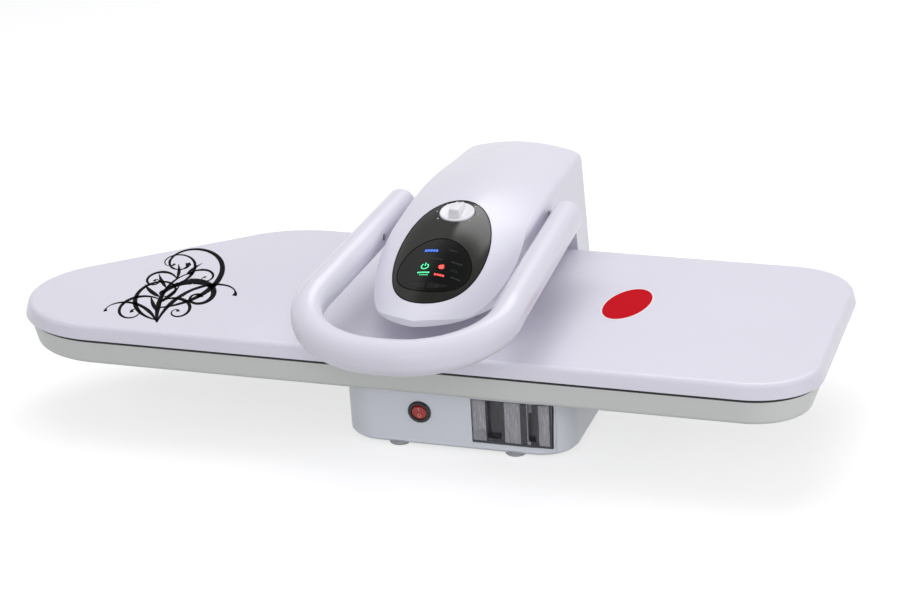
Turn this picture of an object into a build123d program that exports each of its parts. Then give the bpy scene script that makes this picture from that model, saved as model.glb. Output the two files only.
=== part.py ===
# Steam ironing press: base with water tank, lower board, hinged press head with
# steam plate, loop handle on a toggle link. Millimetres, +Z up, front is -Y.
import os
from math import asin, atan2, cos, degrees, radians, sin, tan
from build123d import *

os.makedirs("parts", exist_ok=True)

# Pressing boards
board_length = 864
board_width = 361
board_y = 28
diagonal_angle = 45.7
diagonal_back_x = -227
nose_radius = 107
front_corner_radius = 72
back_corner_radius = 74
shoulder_radius = 115
tray_bottom = 79
tray_top = 107
tray_wall = 3.5
tray_floor = 3
tray_edge_radius = 6
tray_rib = 2.5
tray_rib_x = [-250, -150, -50, 50, 150, 250, 350]
sheet_floor = 92
tray_inset_top = 5
tray_inset_bottom = 12
cover_bottom = 110
cover_top = 125
cover_wall = 3
plate_bottom = 105
plate_thick = 6
plate_inset = 17
pad_inset = 16.2
pad_thick = 10
pad_edge = 3
cloth_thick = 1
sheet_thick = 1.3
cover_draft = 4
cover_edge_radius = 6
steam_hole_x = [-210, -90, 30, 150, 270]
steam_hole_y = [-80, 0, 80]
steam_hole_radius = 2.5
chamber_thick = 8
element_width = 7
element_height = 7.6

# Head dome
arm_x = 35
dome_skin = 3
cavity_floor = 160
cavity_chamfer = 8
cavity_stations = [-140, -110, -73, -30, 30, 100, 200]
dome_bottom = 161
skirt_bottom = 100
skirt_front = 210
dome_rear = 283
dome_nose = -162
wall_draft = 0.085
wall_draft_height = 190
top_edge_radius = 9
rear_corner_radius = 14
underside_thick = 2
underside_rear = 204
link_slot_half = 16
neck_half = 46
neck_front = -32
neck_rear = 158
neck_corner = 20
neck_wall = 2.5
mount_half = 40
mount_front = -20
mount_rear = 146
mount_thick = 3

# Dome plan at the draft height: nose arc, shoulder and side points
nose_point = (21, -154)
shoulder_point = (46, -128)
side_point = (62, -89)
flank_point = (72.5, 0)
widest_point = (74, 100)
rear_point = (68, 266)
# Dome ridge: station, height, drop of the crown, half width the drop is taken at
dome_ridge = [(-200, 156, 26, 52), (-162, 168, 30, 55), (-110, 191, 30, 60), (-73, 206, 30, 68), (-36, 219.5, 30, 72),
              (0, 229, 28, 74), (40, 234, 26, 75), (88, 236, 23, 76), (150, 235, 18, 72), (215, 230.5, 14, 66),
              (290, 222, 10, 60)]

# Hinge and handle linkage, side view (y, z)
hinge = (245, 72)
handle_pivot = (98, 197)
link_base = (241.5, 97)
link_crank = (90.5, 184)
hinge_shaft_radius = 7
handle_shaft_radius = 6
link_pin_radius = 4
crank_pin_radius = 3
running_gap = 0.08
open_pivot_gap = 1.7
cheek_offset = 26
cheek_thick = 5
bracket_inner = 14
bracket_outer = 44
bracket_thick = 5
bush_radius = 8
cheek_chain = [((245, 72), 14), ((237, 140), 12), ((216, 182), 12), ((98, 190), 16), ((-40, 178), 11)]
tie_spots = [(150, 198), (-36, 178)]
tie_radius = 4
link_half = 4
link_elbow_low = (234, 150)
link_elbow_high = (214, 179)
link_hook = (104, 172)
spring_wire = 1.2
spring_radius = 10
spring_pitch = 3
spring_turns = 3
spring_start = 30.5

# Handle loop: tilted half circle in front, two legs to the pivot
loop_front = (-266.7, 168.5)
loop_tilt = 9.6
loop_flat = 6.8
loop_radius = 94
loop_turn = 91.7
leg_bend_radius = 120
leg_rise = 2.7
loop_rear = 106
shaft_reach = 98
bar_half_width = 16
bar_half_height = 18
parting_drop = 8
end_radius = 9

# Base
base_left = -67
base_right = 178
base_front = -105
base_rear = 281
base_bottom = 4
base_corner = 40
base_wall = 3
front_lean = 7
deck = 54
deck_front = 203
shroud_half = 52
shroud_front = 214
shroud_rear = 279
shroud_top = 96
foot_radius = 11
foot_spots = [(118, -84), (-7, -84), (150, 255), (-39, 255)]
pan_top = 11
pan_floor = 6.5
pan_vent_y = 140
base_edge = 3
side_vent_y = 90
vent_z = 32
screw_radius = 2
screw_length = 14
base_screw_spots = [(-48, -62), (-48, 165), (158, 75), (158, 165)]
inlet_x = 150
inlet_z = 30
inlet_radius = 8

# Tank
tank_left = 76
tank_right = 160
tank_bottom = 14
tank_top = 63
tank_rear = 36
tank_wall = 2.2
bay_gap = 0.8
bay_wall = 2
tank_channels = [(92, 107), (135, 143)]
channel_depth = 6
tank_web_x = [114, 126]
frame_wide = 2.4
frame_deep = 4
plug_x = 85
plug_z = 24
plug_radius = 5
cap_x = 118
cap_y = -45
cap_radius = 14
cap_depth = 5
outlet_z = 26
outlet_radius = 5
valve_length = 14
valve_bore = 2.5
valve_stem = 1.2
seat_length = 14
hose_radius = 4
hose_wall = 1.2
pump_radius = 15
pump_length = 60
pump_spout = 10
pump_y = 110

# Switch
switch_x = 20
switch_z = 43
bezel_radius = 12.3
bezel_proud = 2.2
barrel_radius = 10
barrel_length = 14
rocker_radius = 8
rocker_gap = 0.5
rocker_depth = 6.6
rocker_axis_depth = 1

# Panel on the dome
panel_y = -58
panel_half_width = 47.5
panel_half_length = 83
panel_gap = 0.25
display_y = -87
display_radius = 38.5
knob_y = -1
knob_radius = 18.5
knob_tilt = 13
knob_seat_z = 225.8
knob_lift = 0.4
knob_disc = 5
knob_stem_radius = 3
grip_width = 8
grip_height = 7
stem_length = 22
key_tilt = 25
key_y = -88
key_z = 200
key_reach = 35
key_cut = -26
key_split = 0.8
key_gap = 0.35
key_thick = 2.6
panel_thick = 4.2
window_thick = 1

# Circuit board on two posts behind the panel
circuit_y = -88
circuit_z = 175.6
circuit_tilt = 22
circuit_width = 58
circuit_length = 66
circuit_thick = 1.6
post_radius = 3
post_x = 24
post_y = -66
post_gap = 0.3


def lean_front(z):
    return base_front + (tray_bottom - z) * tan(radians(front_lean))


def board_outline(inset, height):
    a = radians(diagonal_angle)
    half = board_width / 2 - inset
    right = board_length / 2 - inset
    line_x = diagonal_back_x + inset / sin(a)
    back_x = line_x - inset / tan(a)
    front_x = line_x - (board_width - inset) / tan(a)
    front, back = board_y - half, board_y + half
    corners = [(right, front), (right, back), (back_x, back), (front_x, front)]
    radii = [front_corner_radius, back_corner_radius, shoulder_radius, nose_radius]
    with BuildSketch(Plane.XY.offset(height)) as outline:
        with BuildLine():
            Polyline(corners, close=True)
        make_face()
        for corner, radius in zip(corners, radii):
            fillet(outline.vertices().sort_by_distance(corner)[0], radius - inset)
    return outline.sketch


def board_slab(inset, low, high):
    with BuildPart() as slab:
        add(board_outline(inset, low))
        extrude(amount=high - low)
    return slab.part


def dome_outline(height, inset):
    grow = (wall_draft_height - height) * wall_draft - inset
    nose, shoulder, side, flank, widest, rear = [
        (x + grow, y) for x, y in (nose_point, shoulder_point, side_point, flank_point, widest_point, rear_point)]
    with BuildSketch(Plane(origin=(arm_x, 0, height))) as outline:
        with BuildLine():
            ThreePointArc((0, dome_nose - grow), nose, shoulder)
            ThreePointArc(shoulder, side, flank)
            ThreePointArc(flank, widest, rear)
            Polyline(rear, (rear[0], dome_rear - inset), (0, dome_rear - inset))
            mirror(about=Plane.YZ)
        make_face()
        fillet(outline.vertices().group_by(Axis.Y)[-1], rear_corner_radius - inset)
    return outline.sketch


def dome_roof(inset):
    with BuildPart() as roof:
        for y, ridge, drop, half in dome_ridge:
            curve = (half * half + drop * drop) / (2 * drop)
            side = min(half * 1.35, curve * 0.98)
            top = ridge - inset
            low = top - curve + (curve * curve - side * side) ** 0.5
            with BuildSketch(Plane(origin=(arm_x, y, 0), x_dir=(1, 0, 0), z_dir=(0, -1, 0))):
                with BuildLine():
                    ThreePointArc((-side, low), (0, top), (side, low))
                    Polyline((side, low), (side, 40), (-side, 40), (-side, low))
                make_face()
        loft()
    return roof.part


def dome_form(inset, floor):
    with BuildPart() as form:
        add(dome_outline(skirt_bottom - 5, inset))
        add(dome_outline(260, inset))
        loft(ruled=True)
        add(dome_roof(inset), mode=Mode.INTERSECT)
        with Locations((arm_x, dome_nose - 100, floor)):
            Box(400, skirt_front + inset - dome_nose + 100, 200, mode=Mode.SUBTRACT,
                align=(Align.CENTER, Align.MIN, Align.MAX))
        with Locations((arm_x, 0, skirt_bottom - inset)):
            Box(400, 900, 100, mode=Mode.SUBTRACT, align=(Align.CENTER, Align.CENTER, Align.MAX))
    return form.part


def dome_solid(inset, floor):
    with BuildPart() as solid:
        add(dome_form(inset, floor))
        rim = [e for e in solid.edges() if e.bounding_box().size.Y > 250 and e.center().Z > dome_bottom + 2]
        fillet(rim, max(top_edge_radius - inset, 2))
    return solid.part


def along(table, y):
    for (y0, *low), (y1, *high) in zip(table, table[1:]):
        if y <= y1:
            return [a + (b - a) * (y - y0) / (y1 - y0) for a, b in zip(low, high)]
    return list(table[-1][1:])


def dome_cavity(inset):
    plan = [(y, x) for x, y in (nose_point, shoulder_point, side_point, flank_point, widest_point, rear_point)]
    stations = [(y, 0) for y in cavity_stations] + [(dome_rear - rear_corner_radius, 0), (dome_rear - inset, 10)]
    with BuildPart() as cavity:
        for y, trim in stations:
            wall = along(plan, y)[0] - inset - 1 - trim
            ridge, drop, half = along(dome_ridge, y)
            curve = (half * half + drop * drop) / (2 * drop)
            roof = [(x, ridge - 1.1 * inset - curve + (curve * curve - x * x) ** 0.5)
                    for x in (wall, wall - cavity_chamfer, wall * 0.5)]
            side = [(wall, cavity_floor), (wall, max(roof[0][1] - cavity_chamfer, cavity_floor + 1)), roof[1], roof[2]]
            with BuildSketch(Plane(origin=(arm_x, y, 0), x_dir=(1, 0, 0), z_dir=(0, -1, 0))):
                Polygon(*side, *[(-x, z) for x, z in reversed(side)], align=None)
        loft(ruled=True)
        wall = along(plan, dome_rear)[0] - inset - 1
        with BuildSketch(Plane(origin=(arm_x, 0, skirt_bottom - 1))):
            Polygon((wall, skirt_front + inset), (wall, dome_rear - rear_corner_radius), (wall - 10, dome_rear - inset),
                    (10 - wall, dome_rear - inset), (-wall, dome_rear - rear_corner_radius),
                    (-wall, skirt_front + inset), align=None)
        extrude(amount=cavity_floor - skirt_bottom + 3)
    return cavity.part


def panel_prism(grow):
    with BuildPart() as prism:
        with BuildSketch(Plane.XY.offset(dome_bottom + 5)):
            with Locations((arm_x, panel_y)):
                Ellipse(panel_half_width + grow, panel_half_length + grow)
        extrude(amount=100)
    return prism.part


def disc_prism(grow):
    with BuildPart() as prism:
        with Locations((arm_x, display_y, dome_bottom + 5)):
            Cylinder(display_radius + grow, 100, align=(Align.CENTER, Align.CENTER, Align.MIN))
    return prism.part


def chain_profile(plane, circles, amount):
    with BuildPart() as bar:
        for (first, r1), (second, r2) in zip(circles, circles[1:]):
            with BuildSketch(plane) as link:
                with Locations(first):
                    Circle(r1)
                with Locations(second):
                    Circle(r2)
                make_hull()
            extrude(amount=amount)
    return bar.part


def side_plane(x):
    return Plane(origin=(x, 0, 0), x_dir=(0, 1, 0), z_dir=(1, 0, 0))


def cross_rod(x_low, x_high, point, radius):
    with BuildPart() as rod:
        with BuildSketch(side_plane(x_low)):
            with Locations(point):
                Circle(radius)
        extrude(amount=x_high - x_low)
    return rod.part


# Lower board tray with ribs
with BuildPart() as lower_board:
    add(board_outline(tray_inset_top, tray_top))
    extrude(amount=tray_bottom - tray_top, taper=degrees(atan2(tray_inset_bottom - tray_inset_top, tray_top - tray_bottom)))
    fillet(lower_board.faces().sort_by(Axis.Z)[0].edges(), tray_edge_radius)
    add(board_slab(tray_inset_bottom + tray_wall, tray_bottom + tray_floor, tray_top + 1), mode=Mode.SUBTRACT)
    with Locations([(x, board_y, tray_bottom + 1) for x in tray_rib_x]):
        Box(tray_rib, board_width - 40, sheet_floor - tray_bottom - 1, align=(Align.CENTER, Align.CENTER, Align.MIN))
    with Locations([(0, board_y + y, tray_bottom + 1) for y in (-80, 80)]):
        Box(board_length - 250, tray_rib, sheet_floor - tray_bottom - 1,
            align=(Align.CENTER, Align.CENTER, Align.MIN))
lower_board.part.label = "lower_board"
export_step(lower_board.part, "parts/lower_board.step")

# Steel sheet, foam pad and cloth cover of the lower board
with BuildPart() as board_sheet:
    add(board_slab(pad_inset, sheet_floor, sheet_floor + sheet_thick))
    with Locations((0, board_y, sheet_floor)):
        with GridLocations(160, 110, 4, 2):
            Hole(8, depth=sheet_thick * 3)
board_sheet.part.label = "board_sheet"
export_step(board_sheet.part, "parts/board_sheet.step")

pad_low = sheet_floor + sheet_thick
pad_high = pad_low + pad_thick
with BuildPart() as foam_pad:
    add(board_slab(pad_inset + cloth_thick, pad_low, pad_high))
    chamfer(foam_pad.faces().sort_by(Axis.Z)[-1].edges(), pad_edge)
foam_pad.part.label = "foam_pad"
export_step(foam_pad.part, "parts/foam_pad.step")

with BuildPart() as board_cover:
    add(board_slab(pad_inset, pad_low, pad_high + cloth_thick))
    chamfer(board_cover.faces().sort_by(Axis.Z)[-1].edges(), pad_edge + 0.4 * cloth_thick)
    add(foam_pad.part, mode=Mode.SUBTRACT)
board_cover.part.label = "board_cover"
export_step(board_cover.part, "parts/board_cover.step")

# Base housing with the tank bay, rear deck and hinge shroud
base_x = (base_left + base_right) / 2
base_width = base_right - base_left
tank_x = (tank_left + tank_right) / 2
tank_width = tank_right - tank_left


def base_outline(height, inset):
    front = lean_front(height) + inset
    rear = base_rear - inset
    with BuildSketch(Plane.XY.offset(height)) as outline:
        with Locations((base_x, (front + rear) / 2)):
            RectangleRounded(base_width - 2 * inset, rear - front, base_corner - inset)
    return outline.sketch


with BuildPart() as base_housing:
    add(base_outline(pan_top, 0))
    add(base_outline(tray_bottom, 0))
    loft(ruled=True)
    with Locations((base_x, deck_front, deck)):
        Box(600, 200, 60, mode=Mode.SUBTRACT, align=(Align.CENTER, Align.MIN, Align.MIN))
    with BuildPart(mode=Mode.PRIVATE) as base_cavity:
        add(base_outline(pan_top - 1, base_wall))
        add(base_outline(tray_bottom - base_wall, base_wall))
        loft(ruled=True)
        with Locations((base_x, deck_front - base_wall, deck - base_wall)):
            Box(600, 200, 60, mode=Mode.SUBTRACT, align=(Align.CENTER, Align.MIN, Align.MIN))
    add(base_cavity.part, mode=Mode.SUBTRACT)
    with Locations((tank_x, lean_front(tank_bottom) + 2, tank_bottom - bay_gap - bay_wall)):
        Box(tank_width + 2 * (bay_gap + bay_wall), tank_rear + bay_gap + bay_wall - lean_front(tank_bottom) - 2,
            tank_top - tank_bottom + 2 * (bay_gap + bay_wall), align=(Align.CENTER, Align.MIN, Align.MIN))
    with Locations((tank_x, base_front - 20, tank_bottom - bay_gap)):
        Box(tank_width + 2 * bay_gap, tank_rear - base_front + 20 + bay_gap,
            tank_top - tank_bottom + 2 * bay_gap, mode=Mode.SUBTRACT,
            align=(Align.CENTER, Align.MIN, Align.MIN))
    with Locations((tank_x, tank_rear, outlet_z)):
        Cylinder(outlet_radius + 0.5, 40, rotation=(90, 0, 0), mode=Mode.SUBTRACT)
    with Locations((arm_x, (shroud_front + shroud_rear) / 2, deck - 1)):
        Box(2 * shroud_half, shroud_rear - shroud_front, shroud_top - deck + 1,
            align=(Align.CENTER, Align.CENTER, Align.MIN))
        Box(2 * (shroud_half - base_wall), shroud_rear - shroud_front - 2 * base_wall, 100, mode=Mode.SUBTRACT,
            align=(Align.CENTER, Align.CENTER, Align.MIN))
    with Locations((arm_x, (shroud_front + shroud_rear) / 2, deck)):
        Box(2 * shroud_half, shroud_rear - shroud_front, base_wall, align=(Align.CENTER, Align.CENTER, Align.MAX))
    with Locations(Plane(origin=(switch_x, lean_front(switch_z), switch_z), z_dir=(0, -1, -tan(radians(front_lean))))):
        Cylinder(barrel_radius + 0.1, 20, mode=Mode.SUBTRACT)
    with Locations((inlet_x, base_rear, inlet_z)):
        Cylinder(inlet_radius, 20, rotation=(90, 0, 0), mode=Mode.SUBTRACT)
    with Locations([(base_left, side_vent_y + 14 * i, vent_z) for i in range(6)]):
        Box(20, 5, 26, mode=Mode.SUBTRACT)
    with Locations([(x, y, pan_floor) for x, y in base_screw_spots]):
        Cylinder(screw_radius + 3, tray_bottom - pan_floor - 1, align=(Align.CENTER, Align.CENTER, Align.MIN))
        Cylinder(screw_radius + 0.05, screw_length + 6, mode=Mode.SUBTRACT,
                 align=(Align.CENTER, Align.CENTER, Align.MIN))
base_housing.part.label = "base_housing"
export_step(base_housing.part, "parts/base_housing.step")

# Base pan, feet, screws
with BuildPart() as base_pan:
    add(base_outline(base_bottom, 0))
    extrude(amount=pan_top - base_bottom)
    chamfer(base_pan.faces().sort_by(Axis.Z)[0].edges(), base_edge)
    with BuildPart(mode=Mode.PRIVATE) as pan_pocket:
        add(base_outline(pan_floor, base_wall))
        extrude(amount=20)
    add(pan_pocket.part, mode=Mode.SUBTRACT)
    with Locations([(base_x + 16 * i, pan_vent_y, pan_floor) for i in range(-3, 4)]):
        Box(5, 60, 20, mode=Mode.SUBTRACT)
    with Locations([(x, y, base_bottom) for x, y in base_screw_spots]):
        Cylinder(screw_radius + 0.1, 20, mode=Mode.SUBTRACT)
base_pan.part.label = "base_pan"
export_step(base_pan.part, "parts/base_pan.step")

with BuildPart() as rubber_feet:
    with BuildSketch():
        with Locations(foot_spots):
            Circle(foot_radius)
    extrude(amount=base_bottom)
    chamfer(rubber_feet.faces().group_by(Axis.Z)[0].edges(), 1)
rubber_feet.part.label = "rubber_feet"
export_step(rubber_feet.part, "parts/rubber_feet.step")

with BuildPart() as base_screws:
    with Locations([(x, y, base_bottom) for x, y in base_screw_spots]):
        Cylinder(screw_radius, screw_length, align=(Align.CENTER, Align.CENTER, Align.MIN))
        Cylinder(screw_radius * 1.9, 2, align=(Align.CENTER, Align.CENTER, Align.MAX))
    for x, y in base_screw_spots:
        with Locations((x, y, base_bottom - 2)):
            Box(5, 1, 1.6, mode=Mode.SUBTRACT)
            Box(1, 5, 1.6, mode=Mode.SUBTRACT)
base_screws.part.label = "base_screws"
export_step(base_screws.part, "parts/base_screws.step")

# Power switch
switch_plane = Plane(origin=(switch_x, lean_front(switch_z), switch_z), x_dir=(1, 0, 0),
                     z_dir=(0, -cos(radians(front_lean)), -sin(radians(front_lean))))
with BuildPart() as switch_bezel:
    with BuildSketch(switch_plane):
        Circle(bezel_radius)
    extrude(amount=bezel_proud)
    chamfer(switch_bezel.edges().sort_by(Axis.Y)[0], 0.8)
    with BuildSketch(switch_plane):
        Circle(barrel_radius)
    extrude(amount=-barrel_length)
    with BuildSketch(switch_plane.offset(bezel_proud)):
        Circle(rocker_radius + rocker_gap)
    extrude(amount=-bezel_proud - rocker_depth, mode=Mode.SUBTRACT)
    with BuildSketch(switch_plane.offset(-barrel_length)):
        with Locations((-4, 0), (4, 0)):
            Rectangle(0.8, 5)
    extrude(amount=-8)
switch_bezel.part.label = "switch_bezel"
export_step(switch_bezel.part, "parts/switch_bezel.step")

rocker_plane = switch_plane.offset(-rocker_axis_depth)
rocker_side = Plane(origin=rocker_plane.origin, x_dir=rocker_plane.y_dir, z_dir=(1, 0, 0))
swing = rocker_radius + 0.2
with BuildPart() as power_rocker:
    with BuildSketch(rocker_side):
        Polygon((-7.9, 2), (0, 2.5), (6.9, 4.4), (swing, 0), (7, -3), (-7, -3), (-swing, 0), align=None)
    extrude(amount=rocker_radius, both=True)
    with BuildSketch(rocker_plane.offset(-5)):
        Circle(rocker_radius)
    extrude(amount=12, mode=Mode.INTERSECT)
    with Locations(rocker_plane.origin):
        Sphere(swing, mode=Mode.INTERSECT)
power_rocker.part.label = "power_rocker"
export_step(power_rocker.part, "parts/power_rocker.step")

# Water tank with two grip channels, frame, plug, filler cap and outlet
tank_front_low = lean_front(tank_bottom)
tank_front_high = lean_front(tank_top)
frame_back = tank_front_low + frame_deep
tank_side = Plane(origin=(tank_left, 0, 0), x_dir=(0, 1, 0), z_dir=(1, 0, 0))


def tank_block(x_low, x_high, inset, deep):
    with BuildPart() as block:
        with BuildSketch(tank_side.offset(x_low - tank_left)):
            Polygon((lean_front(tank_bottom + inset) + inset, tank_bottom + inset), (deep, tank_bottom + inset),
                    (deep, tank_top - inset), (lean_front(tank_top - inset) + inset, tank_top - inset), align=None)
        extrude(amount=x_high - x_low)
    return block.part


with BuildPart() as water_tank:
    add(tank_block(tank_left, tank_right, 0, tank_rear))
    fillet(water_tank.edges().filter_by(Axis.Z).group_by(Axis.Y)[-1], 6)
    add(tank_block(tank_left + tank_wall, tank_right - tank_wall, tank_wall, tank_rear - tank_wall),
        mode=Mode.SUBTRACT)
    for low, high in tank_channels:
        add(tank_block(low - tank_wall, high + tank_wall, 0, tank_front_low + channel_depth + tank_wall))
        with BuildSketch(tank_side.offset(low - tank_left)):
            Polygon((base_front - 10, tank_bottom + 6), (tank_front_low + channel_depth, tank_bottom + 6),
                    (tank_front_high + channel_depth, tank_top + 10), (base_front - 10, tank_top + 10), align=None)
        extrude(amount=high - low, mode=Mode.SUBTRACT)
    with Locations([(x, -40, tank_bottom + 1) for x in tank_web_x]):
        Box(tank_wall, 60, 34, align=(Align.CENTER, Align.CENTER, Align.MIN))
    with Locations((cap_x, cap_y, tank_top - cap_depth)):
        Cylinder(cap_radius + 2.5, cap_depth, align=(Align.CENTER, Align.CENTER, Align.MIN))
    with Locations((cap_x, cap_y, tank_top - cap_depth + 1)):
        Cylinder(cap_radius + 0.3, 20, mode=Mode.SUBTRACT, align=(Align.CENTER, Align.CENTER, Align.MIN))
    with Locations((cap_x, cap_y, tank_top)):
        Cylinder(cap_radius - 4, 30, mode=Mode.SUBTRACT)
    with Locations((tank_x, tank_rear, outlet_z)):
        Cylinder(outlet_radius, 8, rotation=(90, 0, 0), mode=Mode.SUBTRACT)
    with Locations((plug_x, lean_front(plug_z), plug_z)):
        Cylinder(plug_radius, 12, rotation=(90, 0, 0), mode=Mode.SUBTRACT)
    with Locations((tank_left - 20, frame_back, 0)):
        Box(tank_width + 40, 60, tank_bottom + frame_wide, mode=Mode.SUBTRACT,
            align=(Align.MIN, Align.MAX, Align.MIN))
    with Locations((tank_right - frame_wide, frame_back, 0)):
        Box(40, 60, 100, mode=Mode.SUBTRACT, align=(Align.MIN, Align.MAX, Align.MIN))
water_tank.part.label = "water_tank"
export_step(water_tank.part, "parts/water_tank.step")

with BuildPart() as tank_frame:
    add(tank_block(tank_left, tank_right, 0, frame_back))
    with Locations((tank_left - 20, base_front - 20, tank_bottom + frame_wide)):
        Box(tank_width + 20 - frame_wide, 80, 100, mode=Mode.SUBTRACT, align=Align.MIN)
    with Locations((plug_x, lean_front(plug_z), plug_z)):
        Cylinder(plug_radius + 0.3, 30, rotation=(90, 0, 0), mode=Mode.SUBTRACT)
tank_frame.part.label = "tank_frame"
export_step(tank_frame.part, "parts/tank_frame.step")

with BuildPart() as tank_plug:
    with Locations((plug_x, lean_front(plug_z), plug_z)):
        Cylinder(plug_radius, 3, rotation=(90, 0, 0))
    chamfer(tank_plug.edges().sort_by(Axis.Y)[0], 0.8)
tank_plug.part.label = "tank_plug"
export_step(tank_plug.part, "parts/tank_plug.step")

with BuildPart() as tank_cap:
    with Locations((cap_x, cap_y, tank_top - cap_depth + 1)):
        Cylinder(cap_radius, cap_depth - 1.2, align=(Align.CENTER, Align.CENTER, Align.MIN))
        Cylinder(cap_radius - 4.2, 4, align=(Align.CENTER, Align.CENTER, Align.MAX))
    with Locations((cap_x, cap_y, tank_top - 0.2)):
        Cylinder(cap_radius - 2, 2.4, mode=Mode.SUBTRACT)
        Box(2 * cap_radius - 4, 3, 1.2)
tank_cap.part.label = "tank_cap"
export_step(tank_cap.part, "parts/tank_cap.step")

with BuildPart() as tank_valve:
    with BuildSketch(Plane(origin=(tank_x, tank_rear - 6, outlet_z), z_dir=(0, 1, 0))):
        Circle(outlet_radius)
        Circle(valve_bore, mode=Mode.SUBTRACT)
        Circle(valve_stem)
    extrude(amount=valve_length)
    with BuildSketch(Plane(origin=(tank_x, tank_rear - tank_wall - 3, outlet_z), z_dir=(0, 1, 0))):
        Circle(outlet_radius + 2)
    extrude(amount=3)
tank_valve.part.label = "tank_valve"
export_step(tank_valve.part, "parts/tank_valve.step")

# Valve seat, pump and hose inside the base
seat_start = tank_rear + bay_gap + bay_wall
with BuildPart() as valve_seat:
    with BuildSketch(Plane(origin=(tank_x, seat_start, outlet_z), z_dir=(0, 1, 0))):
        Circle(outlet_radius + 4)
        Circle(outlet_radius + 0.5, mode=Mode.SUBTRACT)
    extrude(amount=seat_length)
    with BuildSketch(Plane(origin=(tank_x, seat_start + seat_length, outlet_z), z_dir=(0, 1, 0))):
        Circle(outlet_radius + 4)
        Circle(hose_radius - 1.5, mode=Mode.SUBTRACT)
    extrude(amount=2)
valve_seat.part.label = "valve_seat"
export_step(valve_seat.part, "parts/valve_seat.step")

pump_nose = pump_y - pump_length / 2 - pump_spout
with BuildPart() as water_pump:
    with Locations((tank_x, pump_y, pan_floor)):
        Box(44, 56, 4, align=(Align.CENTER, Align.CENTER, Align.MIN))
        Box(30, 36, outlet_z - pan_floor, align=(Align.CENTER, Align.CENTER, Align.MIN))
    with Locations((tank_x, pump_y, outlet_z)):
        Cylinder(pump_radius, pump_length, rotation=(90, 0, 0))
    with Locations((tank_x, pump_nose, outlet_z)):
        Cylinder(hose_radius - hose_wall - 0.05, pump_length / 2, rotation=(90, 0, 0),
                 align=(Align.CENTER, Align.CENTER, Align.MAX))
water_pump.part.label = "water_pump"
export_step(water_pump.part, "parts/water_pump.step")

with BuildPart() as feed_hose:
    with BuildSketch(Plane(origin=(tank_x, seat_start + seat_length + 2, outlet_z), z_dir=(0, 1, 0))):
        Circle(hose_radius)
        Circle(hose_radius - hose_wall, mode=Mode.SUBTRACT)
    extrude(amount=pump_nose + pump_spout - seat_start - seat_length - 2.3)
feed_hose.part.label = "feed_hose"
export_step(feed_hose.part, "parts/feed_hose.step")

with BuildPart() as cord_inlet:
    with BuildSketch(Plane(origin=(inlet_x, base_rear - base_wall - 3, inlet_z), z_dir=(0, 1, 0))):
        Circle(inlet_radius)
        Circle(inlet_radius - 4, mode=Mode.SUBTRACT)
    extrude(amount=base_wall + 5)
    with BuildSketch(Plane(origin=(inlet_x, base_rear, inlet_z), z_dir=(0, 1, 0))):
        Circle(inlet_radius + 2.5)
        Circle(inlet_radius - 4, mode=Mode.SUBTRACT)
    extrude(amount=2)
cord_inlet.part.label = "cord_inlet"
export_step(cord_inlet.part, "parts/cord_inlet.step")

# Hinge bracket with inner and outer ears, shaft, link pin and springs
ear_spots = [-bracket_outer, -bracket_inner, bracket_inner, bracket_outer]
with BuildPart() as hinge_bracket:
    with Locations((arm_x, (shroud_front + shroud_rear) / 2, deck)):
        Box(2 * bracket_outer + bracket_thick, shroud_rear - shroud_front - 8, 3,
            align=(Align.CENTER, Align.CENTER, Align.MIN))
    for spot in ear_spots:
        low = arm_x + spot - bracket_thick / 2
        with BuildSketch(side_plane(low)):
            with Locations(hinge):
                Circle(14)
            Polygon((hinge[0] - 14, deck), (hinge[0] + 14, deck), (hinge[0] + 14, hinge[1]),
                    (hinge[0] - 14, hinge[1]), align=None)
            if abs(spot) == bracket_inner:
                with Locations(link_base):
                    Circle(9)
                with Locations((link_base[0], (hinge[1] + link_base[1]) / 2)):
                    Rectangle(18, link_base[1] - hinge[1])
        extrude(amount=bracket_thick)
    add(cross_rod(arm_x - 60, arm_x + 60, hinge, hinge_shaft_radius), mode=Mode.SUBTRACT)
    add(cross_rod(arm_x - 60, arm_x + 60, link_base, link_pin_radius), mode=Mode.SUBTRACT)
hinge_bracket.part.label = "hinge_bracket"
export_step(hinge_bracket.part, "parts/hinge_bracket.step")

with BuildPart() as hinge_shaft:
    reach = bracket_outer + bracket_thick / 2 + 1.5
    add(cross_rod(arm_x - reach, arm_x + reach, hinge, hinge_shaft_radius))
    chamfer(hinge_shaft.edges(), 1)
hinge_shaft.part.label = "hinge_shaft"
export_step(hinge_shaft.part, "parts/hinge_shaft.step")

with BuildPart() as link_pin:
    reach = bracket_inner + bracket_thick / 2 + 1
    add(cross_rod(arm_x - reach, arm_x + reach, link_base, link_pin_radius))
    chamfer(link_pin.edges(), 0.6)
link_pin.part.label = "link_pin"
export_step(link_pin.part, "parts/link_pin.step")

coil_steps = 10
coil_points = [(spring_radius * cos(radians(360 / coil_steps * i)), spring_radius * sin(radians(360 / coil_steps * i)),
                spring_pitch * i / coil_steps) for i in range(coil_steps * spring_turns + 1)]
with BuildPart() as spring_coil:
    with BuildLine() as coil:
        Polyline(*coil_points)
    with BuildSketch(Plane(origin=coil.line @ 0, z_dir=coil.line % 0)):
        Rectangle(2 * spring_wire, 2 * spring_wire)
    sweep(path=coil.line, transition=Transition.RIGHT)

with BuildPart() as lift_springs:
    for side in (-1, 1):
        with Locations(Location((arm_x + side * spring_start, hinge[0], hinge[1]), (0, 90 * side, 0))):
            add(spring_coil.part)
lift_springs.part.label = "lift_springs"
export_step(lift_springs.part, "parts/lift_springs.step")

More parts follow.
